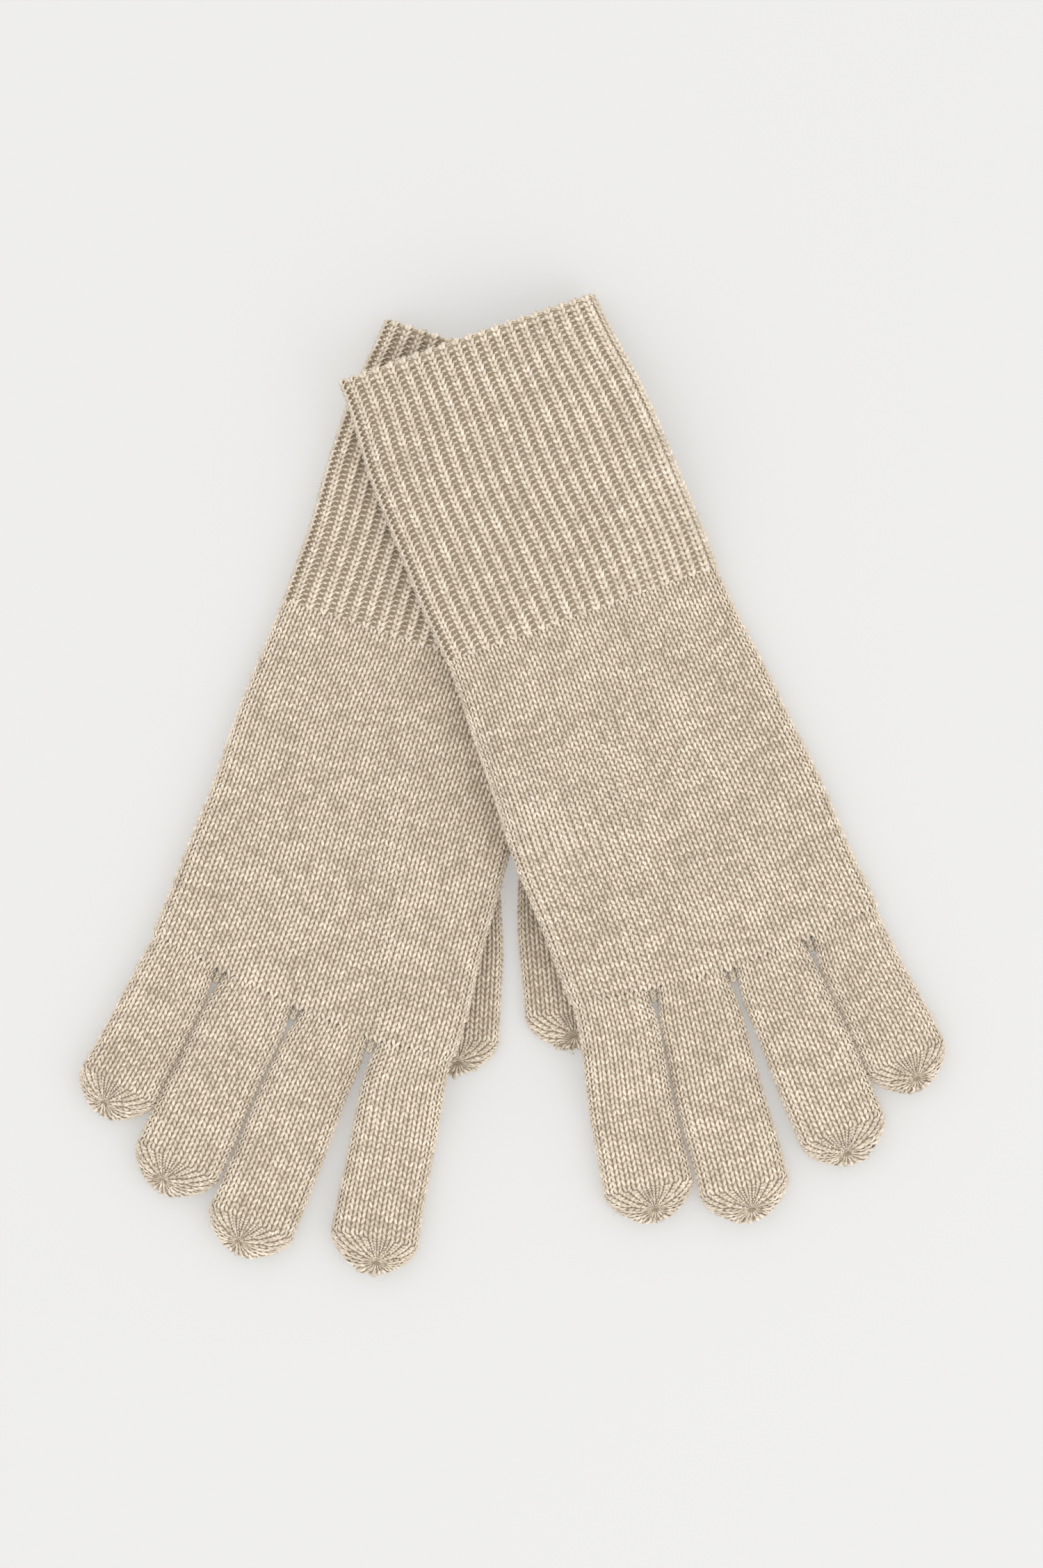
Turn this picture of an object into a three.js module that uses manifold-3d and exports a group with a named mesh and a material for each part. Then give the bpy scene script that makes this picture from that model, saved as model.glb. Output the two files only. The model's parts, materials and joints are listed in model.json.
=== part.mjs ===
// A pair of knitted gloves with long ribbed cuffs, lying palm down on a flat surface. Each thumb is
// tucked under its palm, and the left glove lies across the right one. Millimetres, +Z up, the origin
// on the surface under the middle of the pair, fingers pointing towards -Y.
//
// Every piece is drawn in its glove's own frame: "across" runs from the middle of the hand towards the
// little finger, "along" runs from the cuff's mouth towards the fingertips, and "up" is the height
// above whatever the piece lies on. Glove.toWorld turns that into the pair's frame.
import * as THREE from "three";
import { mergeVertices } from "three/addons/utils/BufferGeometryUtils.js";
import Module from "manifold-3d";

const wasm = await Module();
wasm.setup();

// ---------------------------------------------------------------- driving dimensions, in mm
const JOIN_GAP = 0.3; // between neighbouring pieces of one glove
const REST_GAP = 0.9; // between the left glove and the right one under it

const HAND = {
  thickness: 8.4, // palm, the room for a hand, and back, lying flat
  wall: 1.7, // one layer of plain knit
  length: 110, // rib to the crotch between the middle and ring fingers
};
const CUFF = {
  thickness: 9.2,
  wall: 2.1, // one layer of rib
  length: 87, // the cuff's mouth to the plain knit
  mouthWidth: 78, // lying flat
  width: 83,
  flare: 30, // the cuff reaches its full width this far from its mouth
};
const WELT = { length: 3.6, wall: 2.35 }; // the tubular cast-on edge round the cuff's mouth
const FINGERS = {
  index: { width: 24, length: 67 },
  middle: { width: 23.5, length: 73 },
  ring: { width: 23.8, length: 66 },
  little: { width: 22.7, length: 54 },
};
const FINGER = {
  thickness: HAND.thickness,
  wall: HAND.wall,
  swell: 1.06, // a finger is this much wider near its tip than at its root
  swellBy: 55, // and reaches that width this far from its root
};
const THUMB = {
  thickness: 5, // pressed flat under the palm
  wall: 1.6,
  width: 26.6,
  rootWidth: 21,
  length: 64.5,
  above: 53, // its root line, measured from the end of the rib
  inset: 13.2, // its middle at the root, measured inwards from the hand's edge
  rootGap: 2.7, // from its root line to its tube, so that it can open without catching on the palm
};
const TIP = { length: 11, flat: 0.45 }; // gathered end: its length, and how much height it keeps at its apex
const CROTCH = { gap: 1.8, length: 4.2 }; // between two finger roots: the space and the join that fills it

// How the knit rises over the tucked thumb.
const LIFT = {
  height: THUMB.thickness + 0.6,
  palmRamp: 4.5, // the palm steps up over the thumb's root in this length
  backRamp: 46, // the back of the hand rises gently, and the room between them opens into the thumb
  shoulder: 3.5, // level past the thumb's inner edge, before the knit starts down
  side: 14, // from there down to the surface
  end: 22, // from the thumb's tip down to the surface
  settle: 18, // a thumb whose root is held up comes down to the surface in this length
  rounding: 4, // how sharply the knit follows the higher of two things under it
};
const DRAPE = 26; // the left glove comes down to the surface within this distance of the right one's edge

// How each glove lies: side is 1 for the left glove and -1 for the right one, and angles are in degrees.
// heading is how far the glove turns from straight ahead, skew how far its courses lean from square
// to that, and a positive splay leans a finger towards the little finger's side.
const POSES = {
  right: {
    side: -1,
    heading: 18.3,
    skew: 0.4,
    thumb: -14.9,
    splay: { index: -7, middle: 4.8, ring: 7.8, little: 9.9 },
  },
  left: {
    side: 1,
    heading: 22.7,
    skew: 3,
    thumb: -17.5,
    splay: { index: -11.5, middle: -8.8, ring: -0.8, little: 1.7 },
  },
};
// The outer corner of the left thumb's root lies this far from the right hand's edge beside its own thumb.
const THUMB_OFFSET = new THREE.Vector2(2.8, 10.6);

const YARN = { plain: 0xcdbda3, rib: 0xcfbfa5, welt: 0xd3c4ab, tip: 0xcabaa0, join: 0xc6b69c };
const YARN_ROUGHNESS = 0.95;

// ---------------------------------------------------------------- small helpers
const radians = THREE.MathUtils.degToRad;
const lerp = THREE.MathUtils.lerp;
const smooth = (t) => THREE.MathUtils.smoothstep(t, 0, 1);
const range = (n) => Array.from({ length: n }, (_, i) => i);
const spread = (from, to, steps) => range(steps + 1).map((i) => lerp(from, to, i / steps));

// A closed surface through rows of points that each run once round a piece. With open ends the rows
// form a ring themselves: down the outside and back up the inside. With poles, the first and last
// rows are single points.
function loft(rows, { poles = false } = {}) {
  const points = [];
  const rowIndex = rows.map((row) => row.map((p) => points.push(p) - 1));
  const faces = [];
  const pairs = poles ? rows.length - 1 : rows.length;
  for (let i = 0; i < pairs; i++) {
    const a = rowIndex[i];
    const b = rowIndex[(i + 1) % rows.length];
    const around = Math.max(a.length, b.length);
    for (let j = 0; j < around; j++) {
      const k = (j + 1) % around;
      if (a.length > 1) faces.push(a[j], a[k], b[b.length > 1 ? k : 0]);
      if (b.length > 1) faces.push(a[a.length > 1 ? j : 0], b[k], b[j]);
    }
  }
  const geometry = new THREE.BufferGeometry().setFromPoints(points);
  geometry.setIndex(faces);
  if (volumeOf(geometry) < 0) geometry.setIndex(faces.reverse());
  return geometry;
}

function volumeOf(geometry) {
  const [a, b, c] = range(3).map(() => new THREE.Vector3());
  const { position } = geometry.attributes;
  const faces = geometry.index.array;
  let six = 0;
  for (let i = 0; i < faces.length; i += 3) {
    [a, b, c].forEach((corner, k) => corner.fromBufferAttribute(position, faces[i + k]));
    six += a.dot(b.cross(c));
  }
  return six / 6;
}

function solidOf(geometry) {
  const bare = geometry.clone();
  bare.deleteAttribute("normal");
  bare.deleteAttribute("uv");
  const merged = mergeVertices(bare, 1e-4);
  return new wasm.Manifold(
    new wasm.Mesh({
      numProp: 3,
      vertProperties: merged.attributes.position.array,
      triVerts: new Uint32Array(merged.index.array),
    }),
  );
}

function geometryOf(solid) {
  const { vertProperties, triVerts } = solid.getMesh();
  return new THREE.BufferGeometry()
    .setAttribute("position", new THREE.BufferAttribute(vertProperties, 3))
    .setIndex(new THREE.BufferAttribute(triVerts, 1));
}

// One turn round a flattened tube: straight along the bottom and top through the given stations, and
// half round at both edges. Each point is {across, up}, and inset moves it inwards by the wall.
const EDGE_STEPS = 4;
function flatTube(halfWidth, thickness, inset, stations) {
  const radius = thickness / 2;
  const flat = halfWidth - radius;
  const r = radius - inset;
  const bottom = stations.map((f) => ({ across: f * flat, up: radius - r }));
  const top = [...stations].reverse().map((f) => ({ across: f * flat, up: radius + r }));
  const edge = (sign) =>
    range(EDGE_STEPS - 1).map((i) => {
      const turn = sign * (-Math.PI / 2 + (Math.PI * (i + 1)) / EDGE_STEPS);
      return { across: sign * (flat + r * Math.cos(turn)), up: radius + r * Math.sin(turn) };
    });
  return [...bottom, ...edge(1), ...top, ...edge(-1)];
}

// ---------------------------------------------------------------- a glove's frame and outline
const FINGER_NAMES = Object.keys(FINGERS);
const KNUCKLE_WIDTH = FINGER_NAMES.reduce((sum, name) => sum + FINGERS[name].width, 0);

function cuffHalfWidth(along) {
  return lerp(CUFF.mouthWidth, CUFF.width, smooth(along / CUFF.flare)) / 2;
}

// The hand widens quickly after the rib and then slowly up to the knuckles.
const HAND_CURVE = 0.85;
function handHalfWidth(along) {
  const t = THREE.MathUtils.clamp((along - CUFF.length) / HAND.length, 0, 1);
  return lerp(CUFF.width, KNUCKLE_WIDTH, t ** HAND_CURVE) / 2;
}

class Glove {
  constructor(name, pose) {
    this.name = name;
    this.pose = pose;
    const h = radians(pose.heading);
    this.alongWorld = new THREE.Vector2(pose.side * Math.sin(h), -Math.cos(h));
    this.acrossWorld = new THREE.Vector2(pose.side * Math.cos(h), Math.sin(h));
    this.start = new THREE.Vector2();
    this.courseSlope = Math.tan(radians(pose.skew));
    this.restsOn = null; // the glove under this one
    this.fingers = this.layOutFingers();
    this.thumb = this.layOutThumb();
  }

  // The finger roots make a chain across the knuckles, each link square to its own finger, starting
  // from the crotch between the middle and ring fingers.
  layOutFingers() {
    const boundary = [-KNUCKLE_WIDTH / 2];
    for (const name of FINGER_NAMES) boundary.push(boundary.at(-1) + FINGERS[name].width);
    const heights = new Array(boundary.length);
    const middle = FINGER_NAMES.indexOf("ring");
    heights[middle] = CUFF.length + HAND.length;
    const drop = (i) => Math.tan(radians(this.pose.splay[FINGER_NAMES[i]])) * FINGERS[FINGER_NAMES[i]].width;
    for (let i = middle; i < FINGER_NAMES.length; i++) heights[i + 1] = heights[i] - drop(i);
    for (let i = middle - 1; i >= 0; i--) heights[i] = heights[i + 1] + drop(i);
    this.knuckles = boundary.map((across, i) => new THREE.Vector2(across, heights[i]));
    return FINGER_NAMES.map((name, i) =>
      this.tubeFrame(name, this.knuckles[i].clone().lerp(this.knuckles[i + 1], 0.5), this.pose.splay[name], {
        ...FINGER,
        ...FINGERS[name],
        rootWidth: this.knuckles[i].distanceTo(this.knuckles[i + 1]) - CROTCH.gap,
        width: FINGERS[name].width * FINGER.swell,
      }),
    );
  }

  layOutThumb() {
    const along = CUFF.length + THUMB.above;
    const root = new THREE.Vector2(THUMB.inset - handHalfWidth(along), along);
    return this.tubeFrame("thumb", root, this.pose.thumb, { ...THUMB, swellBy: THUMB.length / 2 });
  }

  // Where a finger or thumb starts and points, both as (across, along).
  tubeFrame(name, root, splay, sizes) {
    const lean = radians(splay);
    return {
      name,
      root,
      ahead: new THREE.Vector2(Math.sin(lean), Math.cos(lean)),
      beside: new THREE.Vector2(Math.cos(lean), -Math.sin(lean)),
      ...sizes,
    };
  }

  placeAt(own, world) {
    this.start.set(0, 0);
    this.start.subVectors(world, this.flatWorld(own.x, own.y));
  }

  flatWorld(across, along) {
    return this.start
      .clone()
      .addScaledVector(this.acrossWorld, across)
      .addScaledVector(this.alongWorld, along);
  }

  fromWorld(point) {
    const d = point.clone().sub(this.start);
    return new THREE.Vector2(d.dot(this.acrossWorld), d.dot(this.alongWorld));
  }

  // How far the knit is raised by the thumb under it, rising over the given length before its root.
  thumbLift(across, along, ramp) {
    const d = new THREE.Vector2(across, along).sub(this.thumb.root);
    const ahead = d.dot(this.thumb.ahead);
    const beside = d.dot(this.thumb.beside) - this.thumb.width / 2 - LIFT.shoulder;
    const rise = smooth((ahead + ramp) / ramp);
    const fall = (1 - smooth(beside / LIFT.side)) * (1 - smooth((ahead - this.thumb.length) / LIFT.end));
    return LIFT.height * rise * fall;
  }

  // The height of this glove's upper side where another glove may rest on it, fading out past its edge.
  topUnder(world) {
    const { x: across, y: along } = this.fromWorld(world);
    const halfWidth = along < CUFF.length ? cuffHalfWidth(along) : handHalfWidth(along);
    const past = Math.max(Math.abs(across) - halfWidth, -along, along - CUFF.length - HAND.length, 0);
    const top = Math.max(HAND.thickness, CUFF.thickness) + this.thumbLift(across, along, LIFT.backRamp);
    return (top + REST_GAP) * (1 - smooth(past / DRAPE));
  }

  // How far this glove is held up by the one under it.
  underAt(across, along) {
    return this.restsOn ? this.restsOn.topUnder(this.flatWorld(across, along)) : 0;
  }

  // How much of that is left where the thumb has come down from the palm.
  underThumb(across, along) {
    const ahead = new THREE.Vector2(across, along).sub(this.thumb.root).dot(this.thumb.ahead);
    return this.underAt(across, along) * (1 - smooth(ahead / LIFT.settle));
  }

  // The surface under a point: the table, the tucked thumb or the other glove, rounded where they meet.
  groundAt(across, along, ramp) {
    const lift = this.thumbLift(across, along, ramp);
    const overThumb = lift * (1 + this.underThumb(across, along) / LIFT.height);
    return (overThumb ** LIFT.rounding + this.underAt(across, along) ** LIFT.rounding) ** (1 / LIFT.rounding);
  }

  // A point of the cuff, hand or fingers. The palm side and the back rise over the thumb by different ramps.
  toWorld(across, along, up, thickness) {
    const back = smooth((up / thickness - 0.25) * 2);
    const underPalm = this.groundAt(across, along, LIFT.palmRamp);
    const ground = lerp(underPalm, this.groundAt(across, along, LIFT.backRamp), back);
    const flat = this.flatWorld(across, along);
    return new THREE.Vector3(flat.x, flat.y, up + ground);
  }

  // A point of the thumb, which comes down from the palm to the surface.
  thumbToWorld(across, along, up) {
    const flat = this.flatWorld(across, along);
    return new THREE.Vector3(flat.x, flat.y, up + this.underThumb(across, along));
  }
}

// ---------------------------------------------------------------- the pieces
// A tube along the hand from one line across the glove to another. from and to give the along of each
// line at a given fraction across, where -1 and 1 are the glove's edges.
function sleeve(glove, { from, to, rows, halfWidth, thickness, wall, stations }) {
  const ring = (t, inset) => {
    const width = halfWidth(lerp(from(0), to(0), t));
    const section = flatTube(width, thickness, inset, stations);
    return section.map(({ across, up }) => {
      const fraction = across / width;
      return glove.toWorld(across, lerp(from(fraction), to(fraction), t), up, thickness);
    });
  };
  return loft([...rows.map((t) => ring(t, 0)), ...[...rows].reverse().map((t) => ring(t, wall))]);
}

// A line across the cuff, along one course of the knit.
const course = (glove, along) => (fraction) => along + (fraction * CUFF.width * glove.courseSlope) / 2;
const CUFF_STATIONS = spread(-1, 1, 8);

function weltGeometry(glove) {
  return sleeve(glove, {
    from: course(glove, 0),
    to: course(glove, WELT.length - JOIN_GAP),
    rows: spread(0, 1, 1),
    halfWidth: cuffHalfWidth,
    thickness: CUFF.thickness,
    wall: WELT.wall,
    stations: CUFF_STATIONS,
  });
}

function cuffGeometry(glove) {
  return sleeve(glove, {
    from: course(glove, WELT.length),
    to: course(glove, CUFF.length - JOIN_GAP),
    rows: spread(0, 1, 6),
    halfWidth: cuffHalfWidth,
    thickness: CUFF.thickness,
    wall: CUFF.wall,
    stations: CUFF_STATIONS,
  });
}

// The palm and back are one seamless tube from the rib to the finger roots, with a slit in the palm
// through which the hand's room opens into the thumb.
function handGeometry(glove) {
  const { knuckles } = glove;
  const flatHalf = KNUCKLE_WIDTH / 2 - HAND.thickness / 2;
  const inner = knuckles.slice(1, -1).map((k) => k.x / flatHalf);
  const bounds = [-1, ...inner, 1];
  const stations = bounds.flatMap((f, i) => (i ? [lerp(bounds[i - 1], f, 0.5), f] : [f]));
  const knuckleLine = (fraction) => {
    const across = (fraction * KNUCKLE_WIDTH) / 2;
    const i = knuckles.findIndex((k, n) => n > 0 && (k.x >= across || n === knuckles.length - 1));
    const [a, b] = [knuckles[i - 1], knuckles[i]];
    return lerp(a.y, b.y, (across - a.x) / (b.x - a.x)) - JOIN_GAP;
  };
  const thumbRow = THUMB.above / HAND.length;
  const step = LIFT.palmRamp / HAND.length;
  const rows = [
    ...spread(0, thumbRow - 2 * step, 3),
    ...spread(thumbRow - 1.5 * step, thumbRow + step, 5),
    ...spread(thumbRow + 2 * step, 1, 4),
  ];
  const tube = sleeve(glove, {
    from: course(glove, CUFF.length),
    to: knuckleLine,
    rows,
    halfWidth: handHalfWidth,
    thickness: HAND.thickness,
    wall: HAND.wall,
    stations,
  });
  return geometryOf(solidOf(tube).subtract(solidOf(thumbSlit(glove))));
}

// What is cut from the palm where the hand's room runs into the thumb's.
function thumbSlit(glove) {
  const { thumb } = glove;
  const length = 3 * LIFT.palmRamp;
  const room = thumb.thickness - 2 * thumb.wall;
  const slit = new THREE.BoxGeometry(length, thumb.rootWidth - 2 * thumb.wall - thumb.thickness, room);
  const centre = thumb.root.clone().addScaledVector(thumb.ahead, -length / 6);
  const middle = glove.thumbToWorld(centre.x, centre.y, HAND.wall + JOIN_GAP + room / 2);
  const ahead = directionWorld(glove, thumb.ahead);
  return slit.rotateZ(ahead.angle()).translate(middle.x, middle.y, middle.z);
}

function directionWorld(glove, own) {
  return new THREE.Vector2()
    .addScaledVector(glove.acrossWorld, own.x)
    .addScaledVector(glove.alongWorld, own.y);
}

const TUBE_STATIONS = spread(-1, 1, 2);
const tubeHalfWidth = (tube, ahead) => lerp(tube.rootWidth, tube.width, smooth(ahead / tube.swellBy)) / 2;

// A ring of a finger or thumb at a distance ahead of its root, shrunk towards its own middle.
function tubeRing(glove, tube, ahead, inset, shrink = { width: 1, height: 1 }) {
  const halfWidth = tubeHalfWidth(tube, ahead);
  const middle = tube.thickness / 2;
  return flatTube(halfWidth, tube.thickness, inset, TUBE_STATIONS).map(({ across, up }) => {
    const own = tube.root
      .clone()
      .addScaledVector(tube.ahead, ahead)
      .addScaledVector(tube.beside, across * shrink.width);
    const height = middle + (up - middle) * shrink.height;
    if (tube.name === "thumb") return glove.thumbToWorld(own.x, own.y, height);
    return glove.toWorld(own.x, own.y, height, tube.thickness);
  });
}

function tubeGeometry(glove, tube) {
  const start = tube.name === "thumb" ? THUMB.rootGap : 0;
  const rows = spread(start, tube.length - TIP.length - JOIN_GAP, 4);
  const ring = (inset) => (ahead) => tubeRing(glove, tube, ahead, inset);
  return loft([...rows.map(ring(0)), ...[...rows].reverse().map(ring(tube.wall))]);
}

// The gathered end of a finger: a hollow dome that rounds off the flattened tube.
function tipGeometry(glove, tube) {
  const start = tube.length - TIP.length;
  const turns = spread(0, Math.PI / 2, 4).slice(0, -1);
  const dome = (inset) => (turn) => {
    const shrink = { width: Math.cos(turn), height: lerp(TIP.flat, 1, Math.cos(turn)) };
    return tubeRing(glove, tube, start + (TIP.length - inset) * Math.sin(turn), inset, shrink);
  };
  const apex = (inset) => {
    const ring = tubeRing(glove, tube, tube.length - inset, tube.thickness / 2, { width: 0, height: 0 });
    return [ring[0]];
  };
  const outside = [...turns.map(dome(0)), apex(0)];
  const inside = [apex(tube.wall), ...[...turns].reverse().map(dome(tube.wall))];
  return loft([...inside, ...outside], { poles: true });
}

// The stitches that close the hand between two fingers, midway between them.
function joinGeometry(glove, knuckle, [before, after]) {
  const halfWidth = CROTCH.gap / 2 - JOIN_GAP;
  const ahead = before.ahead.clone().add(after.ahead).normalize();
  const beside = before.beside.clone().add(after.beside).normalize();
  const corners = (along, up) =>
    [-halfWidth, halfWidth].map((across) => {
      const own = knuckle.clone().addScaledVector(beside, across).addScaledVector(ahead, along);
      return glove.toWorld(own.x, own.y, up, HAND.thickness);
    });
  const row = (along) => [...corners(along, 0), ...corners(along, HAND.thickness).reverse()];
  const centre = (points) => [
    points.reduce((sum, p) => sum.add(p), new THREE.Vector3()).divideScalar(points.length),
  ];
  const near = row(JOIN_GAP);
  const far = row(CROTCH.length);
  return loft([centre(near), near, far, centre(far)], { poles: true });
}

// ---------------------------------------------------------------- the assembly
function mesh(name, geometry, color) {
  geometry.computeVertexNormals();
  const material = new THREE.MeshStandardMaterial({ color, roughness: YARN_ROUGHNESS, metalness: 0 });
  const made = new THREE.Mesh(geometry, material);
  made.name = name;
  return made;
}

function makeGlove(glove) {
  const group = new THREE.Group();
  const add = (part, geometry, color) => group.add(mesh(`${glove.name}_${part}`, geometry, color));
  add("cuff_welt", weltGeometry(glove), YARN.welt);
  add("cuff_rib", cuffGeometry(glove), YARN.rib);
  add("hand", handGeometry(glove), YARN.plain);
  for (const tube of [...glove.fingers, glove.thumb]) {
    const part = tube.name === "thumb" ? "thumb" : `${tube.name}_finger`;
    add(part, tubeGeometry(glove, tube), YARN.plain);
    add(`${tube.name}_tip`, tipGeometry(glove, tube), YARN.tip);
  }
  glove.fingers.slice(1).forEach((after, i) => {
    const before = glove.fingers[i];
    const join = joinGeometry(glove, glove.knuckles[i + 1], [before, after]);
    add(`${before.name}_${after.name}_join`, join, YARN.join);
  });
  return group;
}

// Where each hinge lies, in the pair's frame: fingers and the left cuff fold up about the top of their
// root line, thumbs and the right cuff fold down about its underside.
function hingesOf(glove, offset) {
  const flip = glove.pose.side;
  const alongLine = (root, beside, halfWidth) =>
    spread(-halfWidth, halfWidth, 8).map((d) => root.clone().addScaledVector(beside, d));
  const lineTop = (root, beside, halfWidth, thickness) => {
    const points = alongLine(root, beside, halfWidth);
    return Math.max(...points.map((p) => glove.toWorld(p.x, p.y, thickness, thickness).z));
  };
  const { thumb } = glove;
  const thumbLine = alongLine(thumb.root, thumb.beside, thumb.rootWidth / 2);
  const thumbBottom = Math.min(...thumbLine.map((p) => glove.thumbToWorld(p.x, p.y, 0).z));
  const hinge = (name, root, beside, up, sign) => {
    const flat = glove.flatWorld(root.x, root.y);
    const axis = directionWorld(glove, beside).multiplyScalar(sign * flip);
    return {
      name: `${glove.name}_${name}`,
      pos: [flat.x + offset.x, flat.y + offset.y, up + offset.z],
      axis: [axis.x, axis.y, 0],
    };
  };
  const wrist = new THREE.Vector2(0, CUFF.length);
  const across = new THREE.Vector2(1, glove.courseSlope).normalize();
  const cuff = glove.restsOn
    ? hinge("cuff_fold", wrist, across, lineTop(wrist, across, CUFF.width / 2, CUFF.thickness), 1)
    : hinge("cuff_fold", wrist, across, 0, -1);
  const fingers = glove.fingers.map((tube) =>
    hinge(
      `${tube.name}_fold`,
      tube.root,
      tube.beside,
      lineTop(tube.root, tube.beside, tube.rootWidth / 2, tube.thickness),
      -1,
    ),
  );
  return [cuff, ...fingers, hinge("thumb_open", thumb.root, thumb.beside, thumbBottom, 1)];
}

const right = new Glove("right", POSES.right);
const left = new Glove("left", POSES.left);
// The gloves meet at the thumbs: the right hand's edge there, and the root of the left thumb beside it.
const meetAlong = CUFF.length + THUMB.above;
right.placeAt(new THREE.Vector2(-handHalfWidth(meetAlong), meetAlong), new THREE.Vector2());
const leftThumbCorner = left.thumb.root.clone().addScaledVector(left.thumb.beside, -left.thumb.rootWidth / 2);
left.placeAt(leftThumbCorner, THUMB_OFFSET);
left.restsOn = right;

const pair = new THREE.Group();
pair.name = "knitted_gloves";
pair.add(makeGlove(right), makeGlove(left));
const box = new THREE.Box3().setFromObject(pair);
const centre = box.getCenter(new THREE.Vector3());
pair.position.set(-centre.x, -centre.y, -box.min.z);
pair.userData.hinges = [...hingesOf(right, pair.position), ...hingesOf(left, pair.position)];

export default pair;
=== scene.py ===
"""A pair of knitted gloves with long ribbed cuffs, every stitch made as yarn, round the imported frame.

Lengths are in millimetres until a mesh is made, and each glove is drawn in its own frame: "across" runs
from the middle of the hand towards the little finger, "along" from the cuff's mouth towards the
fingertips, and "up" is the height above whatever the knit lies on.
"""

import json
import logging
import math
from dataclasses import dataclass, field
from enum import Enum
from typing import Any, Callable

import bpy
import numpy as np
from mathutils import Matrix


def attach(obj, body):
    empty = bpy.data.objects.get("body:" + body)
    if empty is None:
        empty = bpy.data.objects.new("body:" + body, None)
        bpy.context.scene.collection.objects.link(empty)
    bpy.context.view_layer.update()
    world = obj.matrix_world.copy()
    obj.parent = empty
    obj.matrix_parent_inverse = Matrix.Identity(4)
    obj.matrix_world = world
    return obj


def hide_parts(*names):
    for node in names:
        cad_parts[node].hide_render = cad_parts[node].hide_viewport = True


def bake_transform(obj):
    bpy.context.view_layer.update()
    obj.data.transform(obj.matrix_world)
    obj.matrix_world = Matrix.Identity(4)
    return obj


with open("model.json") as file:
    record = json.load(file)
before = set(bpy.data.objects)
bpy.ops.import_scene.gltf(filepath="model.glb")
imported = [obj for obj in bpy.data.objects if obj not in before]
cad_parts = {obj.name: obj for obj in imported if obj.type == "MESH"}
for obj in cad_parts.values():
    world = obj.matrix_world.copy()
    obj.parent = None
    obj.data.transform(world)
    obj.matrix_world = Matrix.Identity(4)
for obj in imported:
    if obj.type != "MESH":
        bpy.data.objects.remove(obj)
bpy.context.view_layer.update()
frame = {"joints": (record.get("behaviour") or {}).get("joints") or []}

MM = 0.001
JOIN_GAP = 0.3
REST_GAP = 0.9
FINGER_NAMES = ("index", "middle", "ring", "little")

Array = np.ndarray
Line = Callable[[Array], Array]

log = logging.getLogger("gloves")


class Side(Enum):
    """Which hand a glove is for; the value is the sign of its own across axis."""

    RIGHT = -1
    LEFT = 1


class Face(Enum):
    """Half of a flattened tube, as the first and last fraction of the way round it."""

    BACK = (0.0, 0.5)
    PALM = (0.5, 1.0)
    BOTH = (0.0, 1.0)


class Kind(Enum):
    """What a guide point becomes."""

    KNIT = 0
    PURL = 1


# ---------------------------------------------------------------- small sums


def smooth(t: Array) -> Array:
    """Returns the smooth step of t, held between 0 and 1."""
    t = np.clip(t, 0.0, 1.0)
    return t * t * (3.0 - 2.0 * t)


def lerp(a: Array, b: Array, t: Array) -> Array:
    """Returns the value t of the way from a to b."""
    return a + (b - a) * t


def unit(v: Array) -> Array:
    """Returns each row of v at length 1."""
    return v / np.maximum(np.linalg.norm(v, axis=-1, keepdims=True), 1e-9)


def stadium(s: Array, half_width: Array, half_height: Array, lift: Array) -> tuple[Array, Array]:
    """Walks round a flattened tube's section.

    Args:
        s: fraction of the way round, from the low-across edge over the back to the other edge at 0.5.
        half_width: half of the section's width.
        half_height: half of its height.
        lift: height above the section's outline.

    Returns:
        Across and up of each point, from the section's middle.
    """
    radius = np.minimum(half_width, half_height)
    upright = half_height - radius
    level = half_width - radius
    quarter = math.pi * radius / 2
    below = s > 0.5
    d = np.where(below, 1.0 - s, s) * 2 * (2 * upright + 2 * quarter + 2 * level)
    rise = np.clip(d, 0, upright) - np.clip(d - upright - 2 * quarter - 2 * level, 0, upright)
    slide = np.clip(d - upright - quarter, 0, 2 * level)
    first_bend = np.clip(d - upright, 0, quarter)
    turn = (first_bend + np.clip(d - upright - quarter - 2 * level, 0, quarter)) / radius
    angle = math.pi - turn
    across = slide - level + (radius + lift) * np.cos(angle)
    up = rise + (radius + lift) * np.sin(angle)
    return across, np.where(below, -up, up)


def perimeter(half_width: float, half_height: float) -> float:
    """Returns the distance round a stadium section."""
    radius = min(half_width, half_height)
    return 4 * (half_width + half_height - 2 * radius) + 2 * math.pi * radius


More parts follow.
